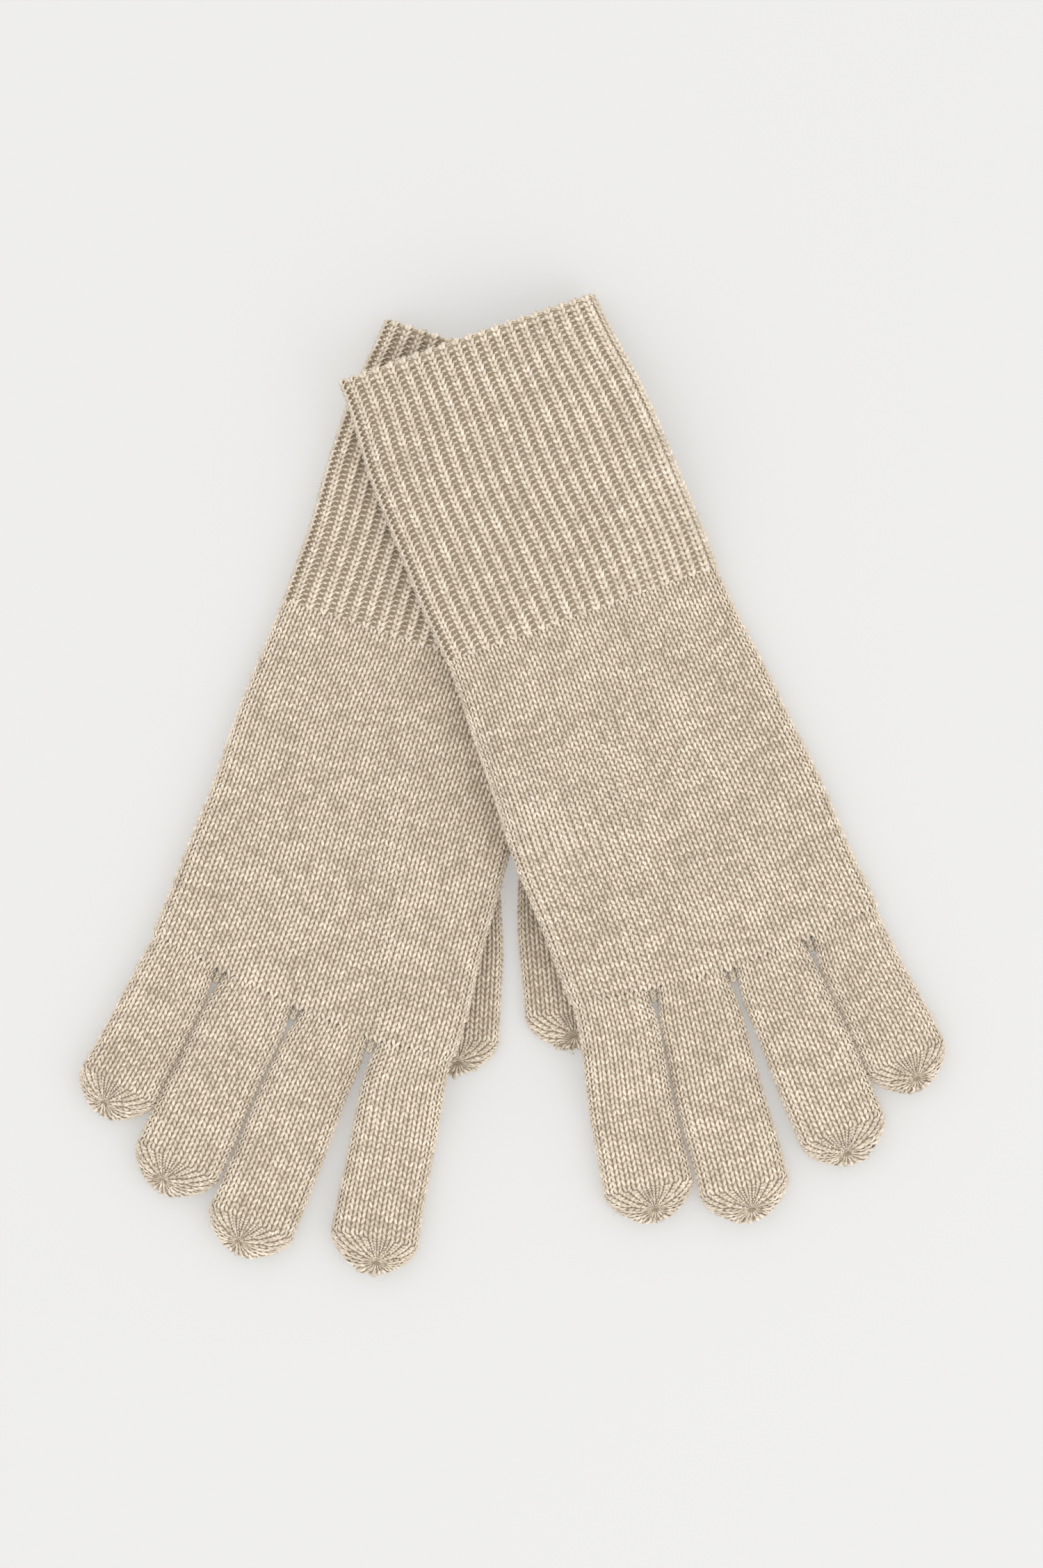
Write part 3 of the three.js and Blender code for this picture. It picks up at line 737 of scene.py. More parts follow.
def stitch_tree() -> bpy.types.NodeTree:
    """Builds the tree that puts a knit or purl stitch of yarn on every guide point.

    Returns:
        A geometry tree with named inputs for the stitch's shape, its unevenness and its finish.
    """
    tree = bpy.data.node_groups.new("Yarn stitches", "GeometryNodeTree")
    face = tree.interface
    face.new_socket("Geometry", in_out="OUTPUT", socket_type="NodeSocketGeometry")
    face.new_socket("Guides", in_out="INPUT", socket_type="NodeSocketGeometry")
    for name, value in STITCH_DEFAULTS.items():
        kind = "NodeSocketInt" if isinstance(value, int) else "NodeSocketFloat"
        face.new_socket(name, in_out="INPUT", socket_type=kind).default_value = value
    for name in ("Yarn", "Lining"):
        face.new_socket(name, in_out="INPUT", socket_type="NodeSocketMaterial")
    w = Wiring(tree)
    given = w.add("NodeGroupInput").outputs
    profile = w.add("GeometryNodeCurvePrimitiveCircle", {"Resolution": 4, "Radius": 1.0}).outputs[0]

    def strand(start: Any, middle: Any, end: Any, thickness: Any) -> bpy.types.NodeSocket:
        """Returns one short length of yarn, thinner at its ends, along a bend."""
        bend = w.add(
            "GeometryNodeCurveQuadraticBezier",
            {"Resolution": given["Segments"], "Start": start, "Middle": middle, "End": end},
        ).outputs[0]
        t = w.add("GeometryNodeSplineParameter").outputs["Factor"]
        belly = w.math("SINE", w.math("MULTIPLY", t, math.pi))
        radius = w.math("MULTIPLY", thickness, w.math("MULTIPLY_ADD", belly, YARN_BELLY, 1 - YARN_BELLY))
        thick = w.add("GeometryNodeSetCurveRadius", {"Curve": bend, "Radius": radius}).outputs[0]
        tube = w.add("GeometryNodeCurveToMesh", {"Curve": thick, "Profile Curve": profile, "Fill Caps": True})
        if "Scale" in tube.inputs:
            tree.links.new(radius, tube.inputs["Scale"])
        rounded = w.add("GeometryNodeSetShadeSmooth", {"Geometry": tube.outputs[0], "Shade Smooth": True})
        return rounded.outputs[0]

    tuck = w.math("MULTIPLY", given["Tuck"], -1.0)
    low = w.math("MULTIPLY", given["Reach Back"], -1.0)
    mid_x = w.math("MULTIPLY", w.math("ADD", given["Close"], given["Open"]), 0.5)
    legs = []
    for mirror in (1.0, -1.0):
        flip = (mirror, 1.0, 1.0)
        legs.append(
            strand(
                w.scaled(w.vector(given["Close"], given["Reach Ahead"], tuck), flip),
                w.scaled(w.vector(w.math("ADD", mid_x, given["Bow"]), -0.05, given["Arch"]), flip),
                w.scaled(w.vector(given["Open"], low, tuck), flip),
                given["Thickness"],
            )
        )
    knit = w.add("GeometryNodeJoinGeometry", {"Geometry": legs}).outputs[0]
    purl = strand(*PURL_BUMP, w.math("MULTIPLY", given["Thickness"], PURL_PLUMPNESS))

    seed = given["Seed"]
    parts = w.add(
        "GeometryNodeSeparateGeometry",
        {"Geometry": given["Guides"], "Selection": w.attribute("is_stitch", "BOOLEAN")},
        domain="POINT",
    )
    where = w.attribute("where", "FLOAT_VECTOR")
    along_yarn = w.vector(w.math("DIVIDE", 1.0, given["Streak"]), STREAK_PER_COURSE, 1.0)
    cloud_scale = w.vector(w.math("DIVIDE", CLOUD_STREAKS, given["Streak"]), CLOUD_PER_COURSE, 1.0)
    streak_place, cloud_place = w.scaled(where, along_yarn), w.scaled(where, cloud_scale)
    streaks = w.add("ShaderNodeTexNoise", {"Vector": streak_place, "Scale": 1.0, "Detail": 1.0})
    clouds = w.add("ShaderNodeTexNoise", {"Vector": cloud_place, "Scale": 1.0, "Detail": 2.0})
    uneven = w.math("SUBTRACT", streaks.outputs[0], 0.5)
    broad = w.math("SUBTRACT", clouds.outputs[0], 0.5)
    mixed = w.math("ADD", w.math("MULTIPLY", uneven, given["Heather"]), w.math("MULTIPLY", broad, given["Clouds"]))
    grain = w.random(w.math("SUBTRACT", 0.5, given["Grain"]), w.math("ADD", 0.5, given["Grain"]), seed)
    tone = w.math("ADD", mixed, grain)
    toned = w.add(
        "GeometryNodeStoreNamedAttribute",
        {"Geometry": parts.outputs["Selection"], "Name": "tone", "Value": tone},
        data_type="FLOAT",
        domain="POINT",
    ).outputs[0]
    wobble = w.math("MULTIPLY", given["Wobble"], 0.5)
    lean = w.random(w.math("MULTIPLY", wobble, -1.0), wobble, w.math("ADD", seed, 1.0))
    turned = w.add(
        "FunctionNodeRotateRotation",
        {
            "Rotation": w.attribute("turn", "QUATERNION"),
            "Rotate By": w.add("FunctionNodeEulerToRotation", {0: w.vector(0.0, 0.0, lean)}).outputs[0],
        },
        rotation_space="LOCAL",
    ).outputs[0]
    least, most = w.math("SUBTRACT", 1.0, given["Swell"]), w.math("ADD", 1.0, given["Swell"])
    swell = w.random(least, most, w.math("ADD", seed, 2.0))
    size = w.scaled(w.attribute("size", "FLOAT_VECTOR"), w.vector(swell, 1.0, swell))
    kind = w.attribute("kind", "INT")
    shown = []
    for value, shape in ((Kind.KNIT.value, knit), (Kind.PURL.value, purl)):
        chosen = w.add("FunctionNodeCompare", data_type="INT", operation="EQUAL")
        a, b = [s for s in chosen.inputs if s.enabled][:2]
        tree.links.new(kind, a)
        b.default_value = value
        shown.append(
            w.add(
                "GeometryNodeInstanceOnPoints",
                {
                    "Points": toned,
                    "Selection": chosen.outputs[0],
                    "Instance": shape,
                    "Rotation": turned,
                    "Scale": size,
                },
            ).outputs[0]
        )
    shown.append(stray_hairs(w, given, toned))
    joined = w.add("GeometryNodeJoinGeometry", {"Geometry": [*shown, parts.outputs["Inverted"]]}).outputs[0]
    for name in ("turn", "size", "where", "kind", "is_stitch"):
        joined = w.add("GeometryNodeRemoveAttribute", {"Geometry": joined, "Name": name}).outputs[0]
    real = w.add("GeometryNodeRealizeInstances", {"Geometry": joined}).outputs[0]
    dyed = w.add("GeometryNodeSetMaterial", {"Geometry": real, "Material": given["Yarn"]}).outputs[0]
    # The lining's faces take the darker lining material: painted shade in the holes between stitches and inside
    # the glove.
    lined = w.add(
        "GeometryNodeSetMaterial",
        {"Geometry": dyed, "Selection": w.attribute("is_lining", "BOOLEAN"), "Material": given["Lining"]},
    ).outputs[0]
    w.add("NodeGroupOutput", {0: lined})
    return tree


STITCH_DEFAULTS: dict[str, float | int] = {
    "Thickness": 0.182,
    "Close": 0.12,
    "Open": 0.38,
    "Reach Ahead": 0.60,
    "Reach Back": 0.72,
    "Bow": 0.02,
    "Arch": 0.6,
    "Tuck": 0.5,
    "Segments": 3,
    "Wobble": 0.16,
    "Swell": 0.07,
    "Streak": 7.0,
    "Heather": 0.72,
    "Clouds": 0.5,
    "Grain": 0.26,
    "Hair Share": 0.7,
    "Hair Length": 0.0026,
    "Hair Thickness": 0.012,
    "Hair Above": 0.0024,
    "Seed": 0,
}


@dataclass(frozen=True)
class StitchStyle:
    """How a piece's stitches differ from plain knitting, by the tree's input names."""

    changes: tuple[tuple[str, float], ...] = ()
    depth: float = 1.8


PLAIN = StitchStyle()
RIBBED = StitchStyle(
    (("Close", 0.06), ("Open", 0.31), ("Thickness", 0.18), ("Heather", 0.65), ("Clouds", 0.35)), 2.0
)


# ---------------------------------------------------------------- finishes


TUFT_FINENESS = 0.3


def fibre_group() -> bpy.types.NodeTree:
    """Builds the shared effect of carded, heathered fibre.

    Returns:
        A shader group whose colour follows each stitch's tone and whose height has the yarn's hairs.
    """
    group = bpy.data.node_groups.new("Heathered fibre", "ShaderNodeTree")
    face = group.interface
    for name, value in (("Pale", (0.8, 0.72, 0.6, 1)), ("Deep", (0.4, 0.33, 0.24, 1))):
        face.new_socket(name, in_out="INPUT", socket_type="NodeSocketColor").default_value = value
    for name, value in (("Tone", 0.5), ("Hair Size", 0.35), ("Mottle", 0.3)):
        face.new_socket(name, in_out="INPUT", socket_type="NodeSocketFloat").default_value = value
    face.new_socket("Color", in_out="OUTPUT", socket_type="NodeSocketColor")
    face.new_socket("Height", in_out="OUTPUT", socket_type="NodeSocketFloat")
    w = Wiring(group)
    given = w.add("NodeGroupInput").outputs
    place = w.add("ShaderNodeTexCoord").outputs["Object"]
    fineness = w.math("DIVIDE", 1000.0, given["Hair Size"])
    hairs = w.add("ShaderNodeTexNoise", {"Vector": place, "Scale": fineness, "Detail": 2.0, "Roughness": 0.6})
    coarse = w.math("MULTIPLY", fineness, TUFT_FINENESS)
    tufts = w.add("ShaderNodeTexNoise", {"Vector": place, "Scale": coarse, "Detail": 1.0})
    flecks = w.math("MULTIPLY", w.math("SUBTRACT", tufts.outputs[0], 0.5), given["Mottle"])
    level = w.math("ADD", given["Tone"], flecks)
    mixed = w.add("ShaderNodeMix", data_type="RGBA", clamp_factor=True)
    for socket, value in zip([s for s in mixed.inputs if s.enabled], (level, given["Deep"], given["Pale"])):
        group.links.new(value, socket)
    color = next(s for s in mixed.outputs if s.enabled)
    w.add("NodeGroupOutput", {"Color": color, "Height": hairs.outputs[0]})
    return group


@dataclass(frozen=True)
class YarnFinish:
    """A knitted surface's yarn: matt, soft, and mixed from pale and deep fibre."""

    name: str
    pale: tuple[float, float, float]
    deep: tuple[float, float, float]
    roughness: float = 0.95
    sheen: float = 0.25
    hair_size: float = 0.35
    mottle: float = 1.5
    bump: float = 0.35
    even: bool = False

    def material(self, fibre: bpy.types.NodeTree) -> bpy.types.Material:
        """Makes the material.

        Args:
            fibre: the shared heathered-fibre group.

        Returns:
            The material, whose tone comes from each stitch's own attribute.
        """
        made = bpy.data.materials.new(self.name)
        made.use_nodes = True
        made.node_tree.nodes.clear()
        w = Wiring(made.node_tree)
        yarn = w.add("ShaderNodeGroup", node_tree=fibre)
        for name, value in (("Pale", (*self.pale, 1)), ("Deep", (*self.deep, 1))):
            yarn.inputs[name].default_value = value
        yarn.inputs["Hair Size"].default_value = self.hair_size
        yarn.inputs["Mottle"].default_value = self.mottle
        if self.even:
            yarn.inputs["Tone"].default_value = 0.5
        else:
            tone = w.add("ShaderNodeAttribute", attribute_name="tone")
            made.node_tree.links.new(tone.outputs["Fac"], yarn.inputs["Tone"])
        relief = {"Height": yarn.outputs["Height"], "Strength": self.bump, "Distance": 0.0002}
        bump = w.add("ShaderNodeBump", relief)
        shader = w.add(
            "ShaderNodeBsdfPrincipled",
            {
                "Base Color": yarn.outputs["Color"],
                "Roughness": self.roughness,
                "Specular IOR Level": 0.25,
                "Sheen Weight": self.sheen,
                "Sheen Roughness": 0.5,
                "Normal": bump.outputs[0],
            },
        )
        w.add("ShaderNodeOutputMaterial", {"Surface": shader.outputs[0]})
        return made


# ---------------------------------------------------------------- knitting


@dataclass
class Guides:
    """Guide points for stitches, gathered from one or more runs of courses."""

    rows: list[dict[str, Array]] = field(default_factory=list)

    def lay(
        self,
        surface: Surface,
        u: Array,
        s: Array,
        du: float,
        ds: float,
        *,
        lift: float = -0.35,
        kind: Kind = Kind.KNIT,
        depth: float = 1.8,
        heading: int = 1,
        widen: float = 1.0,
        first_course: float = 0.0,
        round_: float = 1.0,
        roll: float = 0.0,
    ) -> None:
        """Adds a grid of stitches.

        Args:
            surface: what they lie on.
            u: the middle of each course.
            s: the middle of each wale, as a fraction round.
            du: one course, in u.
            ds: one wale, in s.
            lift: height of the stitches' middle above the surface.
            kind: knit or purl.
            depth: the stitch's own height, in millimetres.
            heading: 1 where u runs towards the fingertips.
            widen: the stitch's width as a part of its wale.
            first_course: the number of the first course, which the heather follows.
            round_: the distance round, in millimetres.
            roll: how far the stitches lean over to one side, in radians.
        """
        grid_u, grid_s = [a.ravel() for a in np.meshgrid(u, s, indexing="ij")]
        courses = np.repeat(np.arange(len(u)) + first_course, len(s))
        got = surface.frames(grid_u, grid_s, np.full_like(grid_u, lift), du, ds, heading)
        got["turn"] = rolled(got["turn"], roll)
        got["size"][:, 0] *= widen
        got["size"][:, 2] = depth
        got["kind"] = np.full(len(grid_u), kind.value)
        got["where"] = np.stack([grid_s * round_, courses, np.zeros_like(courses)], axis=1)
        self.rows.append(got)

    def total(self, key: str) -> Array:
        """Returns one of the attributes over all guide points."""
        return np.concatenate([row[key] for row in self.rows])


@dataclass
class Shell:
    """A closed lining under the stitches, as rings of points that run round it."""

    rings: list[Array]
    poles: bool = False

    def mesh(self) -> tuple[Array, list[tuple[int, ...]]]:
        """Returns the points and the faces, which point outwards."""
        around = max(len(r) for r in self.rings)
        points = np.concatenate(self.rings)
        starts = np.cumsum([0] + [len(r) for r in self.rings])
        faces: list[tuple[int, ...]] = []
        count = len(self.rings)
        for i in range(count - 1 if self.poles else count):
            a, b = starts[i], starts[(i + 1) % count]
            size_a, size_b = len(self.rings[i]), len(self.rings[(i + 1) % count])
            for j in range(around):
                k = (j + 1) % around
                if size_a == 1:
                    faces.append((a, b + k, b + j))
                elif size_b == 1:
                    faces.append((a + j, a + k, b))
                else:
                    faces.append((a + j, a + k, b + k, b + j))
        halves = [f[:3] for f in faces] + [(f[0], f[2], f[3]) for f in faces if len(f) > 3]
        corners = np.array(halves)
        a, b, c = points[corners[:, 0]], points[corners[:, 1]], points[corners[:, 2]]
        if np.einsum("ij,ij->", a, np.cross(b, c)) < 0:
            faces = [tuple(reversed(f)) for f in faces]
        return points, faces


@dataclass
class Knitter:
    """Turns guide points and a lining into a finished mesh of yarn."""

    tree: bpy.types.NodeTree
    yarns: dict[str, bpy.types.Material]
    # the lining's material, darker than the yarn: painted shade for the holes between stitches and the glove's
    # inside
    lining: bpy.types.Material
    offset: Array
    seed: int = 0

    def work(
        self, name: str, guides: Guides, shell: Shell | None, yarn: str, style: StitchStyle = PLAIN
    ) -> bpy.types.Object:
        """Knits a piece.

        Args:
            name: the piece's name.
            guides: where its stitches are.
            shell: its lining, if this piece carries it.
            yarn: the name of its finish.
            style: how its stitches are shaped.

        Returns:
            The piece, as a plain mesh at the origin.
        """
        places = guides.total("place")
        points, faces = shell.mesh() if shell else (np.empty((0, 3)), [])
        mesh = bpy.data.meshes.new(name)
        everything = (np.concatenate([points, places]) + self.offset) * MM
        mesh.from_pydata(everything.tolist(), [], faces)
        lead = len(points)
        count = len(places)
        self._store(mesh, "is_stitch", "BOOLEAN", "POINT", "value", [False] * lead + [True] * count)
        self._store(mesh, "is_lining", "BOOLEAN", "FACE", "value", [True] * len(faces))
        rotation = np.concatenate([np.tile([1.0, 0, 0, 0], (lead, 1)), guides.total("turn")])
        self._store(mesh, "turn", "QUATERNION", "POINT", "value", rotation)
        size = np.concatenate([np.ones((lead, 3)), guides.total("size") * MM])
        self._store(mesh, "size", "FLOAT_VECTOR", "POINT", "vector", size)
        where = guides.total("where") + np.array([self.seed * 3.7, 0, self.seed * 5.3])
        where = np.concatenate([np.zeros((lead, 3)), where])
        self._store(mesh, "where", "FLOAT_VECTOR", "POINT", "vector", where)
        kinds = np.concatenate([np.full(lead, -1), guides.total("kind")])
        self._store(mesh, "kind", "INT", "POINT", "value", kinds)
        piece = bpy.data.objects.new(name, mesh)
        bpy.context.scene.collection.objects.link(piece)
        modifier = piece.modifiers.new("Stitches", "NODES")
        modifier.node_group = self.tree
        sockets = {i.name: i.identifier for i in self.tree.interface.items_tree if i.in_out == "INPUT"}
        values = {**STITCH_DEFAULTS, **dict(style.changes), "Seed": self.seed}
        for key, value in values.items():
            modifier[sockets[key]] = value
        modifier[sockets["Yarn"]] = self.yarns[yarn]
        modifier[sockets["Lining"]] = self.lining
        self.seed += 1
        graph = bpy.context.evaluated_depsgraph_get()
        plain = bpy.data.meshes.new_from_object(
            piece.evaluated_get(graph), preserve_all_data_layers=True, depsgraph=graph
        )
        piece.modifiers.remove(modifier)
        piece.data = plain
        bpy.data.meshes.remove(mesh)
        plain.name = name
        return piece

    @staticmethod
    def _store(mesh: bpy.types.Mesh, name: str, kind: str, domain: str, key: str, values: Any) -> None:
        """Puts one attribute on a mesh."""
        flat = np.asarray(values).ravel()
        mesh.attributes.new(name, kind, domain).data.foreach_set(key, flat)


@dataclass
class Piece:
    """What every knitted piece shares: its glove, its knitter, and how it is dressed."""

    form: GloveForm
    knitter: Knitter
    cover: float = 0.78

    def world(self, own: Array, up: float) -> tuple[float, float, float]:
        """Returns a point over the glove's own (across, along), in metres."""
        flat = self.form.flat(own[0], own[1]) + self.knitter.offset[:2]
        return (float(flat[0]) * MM, float(flat[1]) * MM, up * MM)

    def rings(self, surface: Surface, u: Array, around: int, lift: Array | float) -> list[Array]:
        """Returns one ring of lining points for each u."""
        s = np.arange(around) / around
        height = np.broadcast_to(np.asarray(lift, float), s.shape)
        return [surface.point(np.full(around, one), s, height) for one in u]

    def finish(self, piece: bpy.types.Object, node: str, slot: str) -> bpy.types.Object:
        """Hides the imported part of the node that the piece stands for, and reports the piece."""
        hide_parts(node)
        log.info("%s: %d faces", piece.name, len(piece.data.polygons))
        return piece


@dataclass
class PlainHand(Piece):
    """The palm and back in plain knitting, one tube from the rib to the finger roots."""

    wales: int = 74
    courses: int = 64
    lining_rows: int = 40
    lining_around: int = 72

    def build(self) -> list[bpy.types.Object]:
        """Returns the knitted back and palm."""
        form = self.form
        rib_end = form.course(form.cuff.length)
        surface = Sleeve(form, rib_end, form.knuckle_line, form.hand_half_width, form.hand.thickness)
        around = perimeter(form.hand.knuckle_width / 2, form.hand.thickness / 2)
        u = np.linspace(0.05, self.courses - 0.2, self.courses + 1) / self.courses
        rows = np.linspace(0, 1, self.lining_rows)
        outer = self.rings(surface, rows, self.lining_around, -self.cover)
        inner = self.rings(surface, rows[::-1], self.lining_around, -form.hand.wall)
        made = []
        for face in (Face.BACK, Face.PALM):
            first, last = face.value
            count = self.wales // 2
            s = first + (np.arange(count) + 0.5) / count * (last - first)
            guides = Guides()
            guides.lay(surface, u, s, 1 / self.courses, 1 / self.wales, round_=around, first_course=50)
            shell = Shell(outer + inner) if face is Face.PALM else None
            made.append(self.knitter.work(f"{form.name}_hand_{face.name.lower()}", guides, shell, "plain"))
        return made

    def dress(self, made: list[bpy.types.Object]) -> None:
        """Hangs the back and palm on the hand's body."""
        for piece in made:
            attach(piece, f"{self.form.name}_hand")
            self.finish(piece, f"{self.form.name}_hand", "plain_knit")


@dataclass
class RibCuff(Piece):
    """The one-by-one rib: knit columns that stand up, and purl valleys between them."""

    pairs: int = 42
    course: float = 1.56
    valley: float = 0.8
    column_part: float = 0.8
    purl_part: float = 0.44
    purl_depth: float = 1.5
    sink: float = 0.3
    lean: float = 0.42
    bend_reach: float = 22.0

    def surface(self) -> Sleeve:
        """Returns the cuff's tube from its mouth to the plain knit."""
        form = self.form
        sizes = form.cuff
        last = form.course(sizes.length - JOIN_GAP)
        return Sleeve(form, form.course(0), last, form.cuff_half_width, sizes.thickness)

    def lay_rib(
        self, guides: Guides, surface: Surface, u: Array, du: float, half: tuple[float, float], **more: Any
    ) -> None:
        """Adds knit columns and purl valleys to the guides.

        Args:
            guides: what they are added to.
            surface: what they lie on.
            u: the middle of each course.
            du: one course, in u.
            half: the part of the way round that is covered.
            more: the rest of what Guides.lay takes.
        """
        first, last = half
        count = round(self.pairs * (last - first))
        s = first + (np.arange(count) + 0.5) / self.pairs
        ds = 1 / self.pairs
        around = perimeter(self.form.cuff.width / 2, self.form.cuff.thickness / 2)
        shared = {"round_": around, **more}
        knit = {"depth": RIBBED.depth, "widen": self.column_part, "lift": -self.sink, "roll": self.lean}
        guides.lay(surface, u, s, du, ds, **knit, **shared)
        purl = {"depth": self.purl_depth, "widen": self.purl_part, "lift": -self.sink - self.valley}
        guides.lay(surface, u, s + ds / 2, du, ds, kind=Kind.PURL, **purl, **shared)

    def build(self) -> list[bpy.types.Object]:
        """Returns the back and palm halves of the rib."""
        form = self.form
        sizes = form.cuff
        surface = self.surface()
        run = sizes.length - JOIN_GAP
        courses = round((run - sizes.welt) / self.course)
        first = sizes.welt / run
        u = first + (np.arange(courses) + 0.5) / courses * (1 - first)
        around = self.pairs * 4
        wave = np.cos(2 * math.pi * (np.arange(around) / around * self.pairs - 0.5))
        outer_lift = -self.cover - self.valley * (0.5 - 0.5 * wave) * 0.75
        rows = np.linspace(first, 1, 26)
        outer = self.rings(surface, rows, around, outer_lift)
        inner = self.rings(surface, rows[::-1], around, -sizes.wall - 0.1)
        made = []
        for face in (Face.BACK, Face.PALM):
            guides = Guides()
            self.lay_rib(guides, surface, u, (1 - first) / courses, face.value)
            shell = Shell(outer + inner) if face is Face.PALM else None
            name = f"{form.name}_cuff_{face.name.lower()}"
            made.append(self.knitter.work(name, guides, shell, "rib", RIBBED))
        return made

    def dress(self, made: list[bpy.types.Object]) -> None:
        """Bakes each half of the rib in place, and hides the imported rib that it stands for."""
        form = self.form
        start = self.world(np.array([0.0, form.cuff.length]), 5.0)
        end = self.world(np.array([0.0, form.cuff.length - self.bend_reach]), 5.0)
        for piece in made:
            f"{form.name}_hand"
            f"{form.name}_cuff"
            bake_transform(piece)
            self.finish(piece, f"{form.name}_cuff_rib", "rib_knit")


@dataclass
class CuffWelt(RibCuff):
    """The cast-on edge: the rib's last courses, rolled over a rounded lip and on inside."""

    valley: float = 0.4

    def build(self) -> list[bpy.types.Object]:
        """Returns the knitted edge."""
        form = self.form
        sizes = form.cuff
        base = Sleeve(form, form.course(0), form.course(sizes.welt), form.cuff_half_width, sizes.thickness)
        lip = Lip(form, base, sizes.welt, sizes.welt_wall)
        courses = round(lip.run / self.course)
        du = lip.run / courses
        guides = Guides()
        self.lay_rib(guides, lip, (np.arange(courses) + 0.5) * du, du, Face.BOTH.value, heading=-1)
        around = self.pairs * 2
        rows = np.linspace(0, lip.run, 12)
        shell = Shell(self.rings(lip, rows, around, -self.cover))
        return [self.knitter.work(f"{form.name}_cuff_welt_knit", guides, shell, "welt", RIBBED)]

    def dress(self, made: list[bpy.types.Object]) -> None:
        """Hangs the edge on the cuff's body."""
        for piece in made:
            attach(piece, f"{self.form.name}_cuff")
            self.finish(piece, f"{self.form.name}_cuff_welt", "cast_on_edge")


@dataclass
class DigitTube(Piece):
    """A finger's or thumb's tube of plain knitting."""

    digit: Digit | None = None
    wales: int = 23
    course: float = 1.72
    bend_reach: float = 30.0
    thumb_start: float = -4.5
    thumb_bend: float = -2.0
    lining_around: int = 40

    @property
    def is_thumb(self) -> bool:
        """Whether this is the thumb, which is tucked under the palm."""
        return self.digit.name == "thumb"

    @property
    def body(self) -> str:
        """The body that the digit turns with."""
        return f"{self.form.name}_thumb" if self.is_thumb else f"{self.form.name}_{self.digit.name}_finger"

    def build(self) -> list[bpy.types.Object]:
        """Returns the knitted tube."""
        sizes = self.digit.sizes
        surface = Tube(self.form, self.digit)
        start = self.thumb_start if self.is_thumb else 0.0
        end = sizes.length - sizes.tip
        courses = round((end - start) / self.course)
        du = (end - start) / courses
        around = perimeter(sizes.width / 2, sizes.thickness / 2)
        guides = Guides()
        u = start + (np.arange(courses) + 0.5) * du
        s = (np.arange(self.wales) + 0.5) / self.wales
        guides.lay(surface, u, s, du, 1 / self.wales, round_=around, first_course=130)
        rows = np.linspace(start, end, 16)
        outer = self.rings(surface, rows, self.lining_around, -self.cover)
        shell = Shell(outer + self.rings(surface, rows[::-1], self.lining_around, -sizes.wall))
        return [self.knitter.work(f"{self.body}_knit", guides, shell, "plain")]

    def dress(self, made: list[bpy.types.Object]) -> None:
        """Bakes the tube in place, and hides the imported part that it stands for."""
        root = self.digit.root
        back = self.thumb_bend if self.is_thumb else 0.0
        start = self.world(root + self.digit.ahead * back, 4.0)
        end = self.world(root + self.digit.ahead * self.bend_reach, 4.0)
        for piece in made:
            f"{self.form.name}_hand"
            self.body
            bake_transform(piece)
            self.finish(piece, self.body, "plain_knit")


@dataclass
class GatheredTip(DigitTube):
    """The end of a finger or thumb, where its wales are drawn together."""

    courses: int = 9
    merged_from: int = 5
    aside: float = 0.14

    def build(self) -> list[bpy.types.Object]:
        """Returns the knitted end."""
        sizes = self.digit.sizes
        lean = self.aside * math.sin(2.4 * len(self.digit.name) + self.form.side.value)
        dome = Dome(self.form, self.digit, aside=lean)
        around = perimeter(sizes.width / 2, sizes.thickness / 2)
        guides = Guides()
        u = (np.arange(self.courses) + 0.4) / (self.courses + 0.3)
        du = 1 / (self.courses + 0.3)
        merged = (self.wales + 1) // 2
        for rows, wales in ((u[: self.merged_from], self.wales), (u[self.merged_from :], merged)):
            s = (np.arange(wales) + 0.5) / wales
            guides.lay(dome, rows, s, du, 1 / wales, round_=around, first_course=170)
        rows = np.linspace(0, 0.97, 14)
        pole = (np.ones(1), np.full(1, 0.25))
        outer = self.rings(dome, rows, self.lining_around, -self.cover)
        inner = self.rings(dome, rows[::-1], self.lining_around, -sizes.wall)
        outside, inside = (dome.point(*pole, np.full(1, -deep)) for deep in (self.cover, sizes.wall))
        shell = Shell([inside, *inner, *outer, outside], poles=True)
        return [self.knitter.work(f"{self.form.name}_{self.digit.name}_tip_knit", guides, shell, "tip")]

    def dress(self, made: list[bpy.types.Object]) -> None:
        """Hangs the end on the digit's body."""
        for piece in made:
            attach(piece, self.body)
            self.finish(piece, f"{self.form.name}_{self.digit.name}_tip", "gathered_tip")


@dataclass
class CrotchJoin(Piece):
    """The stitches that close the hand between two fingers."""

    index: int = 0
    length: float = 4.2
    half_width: float = 0.8
    drop: float = 1.7

    def build(self) -> list[bpy.types.Object]:
        """Returns the knitted join."""
        form = self.form
        before, after = form.fingers[self.index], form.fingers[self.index + 1]
        ahead = unit(before.ahead + after.ahead)
        beside = unit(before.beside + after.beside)
        wall = Fillet(form, form.knuckles[self.index + 1], ahead, beside, self.half_width, self.drop)
        guides = Guides()
        u = np.array([0.2, 1.6, 3.0])
        s = (np.arange(10) + 0.5) / 10
        guides.lay(wall, u, s, 1.5, 0.1, lift=-0.2, depth=1.4, widen=1.3)
        rows = np.linspace(-0.6, self.length, 6)
        rings = self.rings(wall, rows, 20, -0.45)
        ends = [np.mean(rings[0], axis=0, keepdims=True), np.mean(rings[-1], axis=0, keepdims=True)]
        shell = Shell([ends[0], *rings, ends[1]], poles=True)
        self.node = f"{form.name}_{before.name}_{after.name}_join"
        return [self.knitter.work(f"{self.node}_knit", guides, shell, "join")]

    def dress(self, made: list[bpy.types.Object]) -> None:
        """Hangs the join on the hand's body."""
        for piece in made:
            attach(piece, f"{self.form.name}_hand")
            self.finish(piece, self.node, "crotch_stitches")


